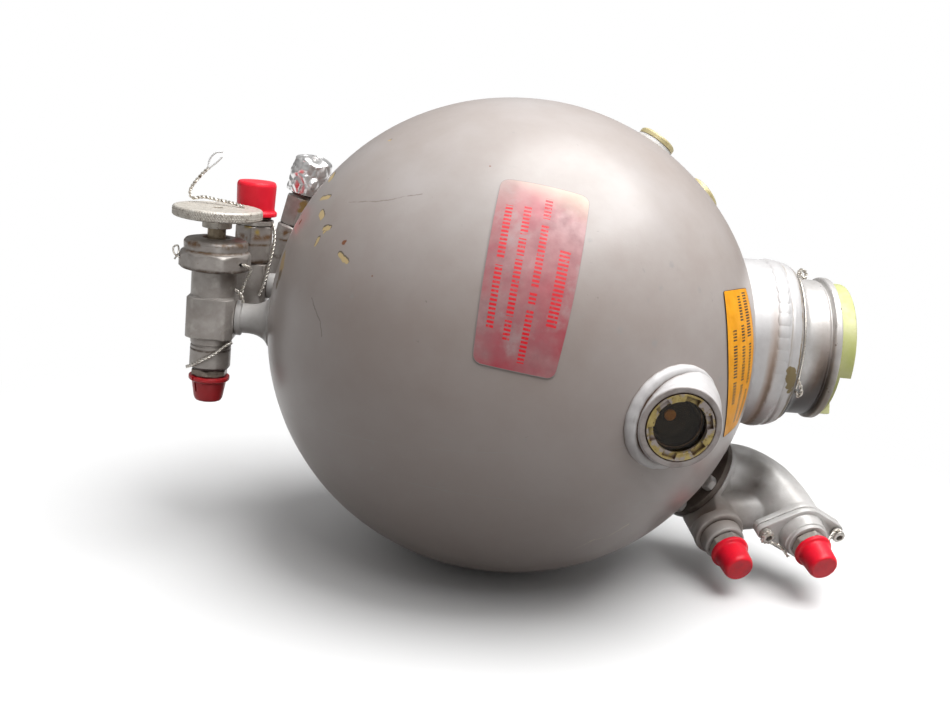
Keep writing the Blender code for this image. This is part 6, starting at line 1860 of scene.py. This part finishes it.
class RESERVOIR_OT_stage(bpy.types.Operator):
    """Floor, light and the camera at the photograph's angle"""

    bl_idname = "reservoir.stage"
    bl_label = "Stage"

    def execute(self, context):
        scene = context.scene
        scene.view_settings.view_transform = "Standard"
        self.floor()
        self.world(scene)
        for name, spot, aim, size, power in (
                ("key_light", (0.25, -1.25, 1.40), (0.02, -0.2, 0.0), 1.0, 8.5),
                ("top_light", (0.42, -0.30, 1.45), (0.0, -0.16, 0.0), 1.5, 36.0)):
            data = bpy.data.lights.new(name, "AREA")
            data.shape = "DISK"
            data.size = size
            data.energy = power
            lamp = bpy.data.objects.new(name, data)
            way = Vector(aim) - Vector(spot)
            turn = way.to_track_quat("-Z", "Y").to_matrix().to_4x4()
            lamp.matrix_world = Matrix.Translation(Vector(spot)) @ turn
            scene.collection.objects.link(lamp)
        across = Vector((0.99401, -0.03280, 0.10421))
        up = Vector((-0.09378, 0.23310, 0.96792))
        ahead = across.cross(up) * -1.0
        data = bpy.data.cameras.new("photo_camera")
        data.sensor_width = SENSOR_MM
        data.lens = FOCAL_PIXELS / PICTURE_PIXELS * SENSOR_MM
        data.clip_start = 0.01
        camera = bpy.data.objects.new("photo_camera", data)
        turn = Matrix((across, up, -ahead)).transposed().to_4x4()
        camera.matrix_world = Matrix.Translation(CENTRE + Vector((-0.0636, -0.7274, 0.1552))) @ turn
        scene.collection.objects.link(camera)
        scene.camera = camera
        return {"FINISHED"}

    def floor(self):
        """Plain pale floor that fades to white away from the object."""
        bm = bmesh.new()
        bmesh.ops.create_circle(bm, cap_ends=True, segments=96, radius=6.0)
        bm.transform(Matrix.Translation((0.0, CENTRE.y, -RADIUS - 0.0002)))
        material, tree = new_material("pale_floor")
        spot = add_node(tree, "ShaderNodeTexCoord").outputs["Object"]
        away = vectors(tree, "DISTANCE", spot, (0.0, CENTRE.y, -RADIUS), output="Value")
        fade = ranged(tree, away, 0.24, 0.52, interpolation_type="SMOOTHSTEP")
        rays = add_node(tree, "ShaderNodeLightPath").outputs
        seen = maths(tree, "MAXIMUM", rays["Is Camera Ray"], rays["Is Glossy Ray"])
        tone = blend_colour(tree, seen, hex_colour("5C5855"), hex_colour("E8E8E8"))
        matt = add_node(tree, "ShaderNodeBsdfPrincipled", {"Base Color": tone, "Roughness": 0.8})
        glow = add_node(tree, "ShaderNodeEmission", {"Color": hex_colour("FFFFFF"), "Strength": 1.0})
        mixed = add_node(tree, "ShaderNodeMixShader", {
            0: maths(tree, "MULTIPLY", fade, seen), 1: matt.outputs[0], 2: glow.outputs[0]})
        add_node(tree, "ShaderNodeOutputMaterial", {0: mixed.outputs[0]})
        keep("floor", bm, Matrix.Identity(4), material)

    def world(self, scene):
        """Even white light, brighter from above, and a white background."""
        world = bpy.data.worlds.new("studio")
        scene.world = world
        world.use_nodes = True
        tree = world.node_tree
        tree.nodes.clear()
        spot = add_node(tree, "ShaderNodeTexCoord").outputs["Generated"]
        height = add_node(tree, "ShaderNodeSeparateXYZ", {0: spot}).outputs[2]
        level = ranged(tree, height, -0.1, 1.0, 0.12, 0.62)
        rays = add_node(tree, "ShaderNodeLightPath").outputs
        seen = maths(tree, "MAXIMUM", rays["Is Camera Ray"], rays["Is Transmission Ray"])
        light, white = (
            add_node(tree, "ShaderNodeBackground", {"Color": hex_colour("FFFFFF"), "Strength": power})
            for power in (level, 1.0))
        mixed = add_node(tree, "ShaderNodeMixShader", {0: seen, 1: light.outputs[0], 2: white.outputs[0]})
        add_node(tree, "ShaderNodeOutputWorld", {0: mixed.outputs[0]})


OPERATORS = (RESERVOIR_OT_stage, RESERVOIR_OT_tank, RESERVOIR_OT_rear_pad, RESERVOIR_OT_filler_neck,
             RESERVOIR_OT_filler_cap, RESERVOIR_OT_sight_glass, RESERVOIR_OT_small_ports, RESERVOIR_OT_outlet,
             RESERVOIR_OT_vent_valve, RESERVOIR_OT_pressure_fitting, RESERVOIR_OT_return_fitting,
             RESERVOIR_OT_dust_caps, RESERVOIR_OT_placards, RESERVOIR_OT_lockwires, RESERVOIR_OT_inner_parts)


class RESERVOIR_PT_panel(bpy.types.Panel):
    """Sidebar panel with the sizes, the colours and a button for each piece"""

    bl_label = "Hydraulic reservoir"
    bl_idname = "RESERVOIR_PT_panel"
    bl_space_type = "VIEW_3D"
    bl_region_type = "UI"
    bl_category = "Reservoir"

    def draw(self, context):
        for group in (context.scene.reservoir_sizes, context.scene.reservoir_colours):
            box = self.layout.box()
            for label in group.__annotations__:
                box.prop(group, label)
        for operator in OPERATORS:
            self.layout.operator(operator.bl_idname)


CLASSES = (ReservoirSizes, ReservoirColours, *OPERATORS, RESERVOIR_PT_panel)


def register():
    """Make the classes and their settings known to Blender."""
    for item in CLASSES:
        bpy.utils.register_class(item)
    bpy.types.Scene.reservoir_sizes = bpy.props.PointerProperty(type=ReservoirSizes)
    bpy.types.Scene.reservoir_colours = bpy.props.PointerProperty(type=ReservoirColours)


def unregister():
    """Take the settings and the classes away again."""
    del bpy.types.Scene.reservoir_colours
    del bpy.types.Scene.reservoir_sizes
    for item in reversed(CLASSES):
        bpy.utils.unregister_class(item)


def main():
    register()
    for operator in OPERATORS:
        group, action = operator.bl_idname.split(".")
        getattr(getattr(bpy.ops, group), action)()


if __name__ == "__main__":
    main()
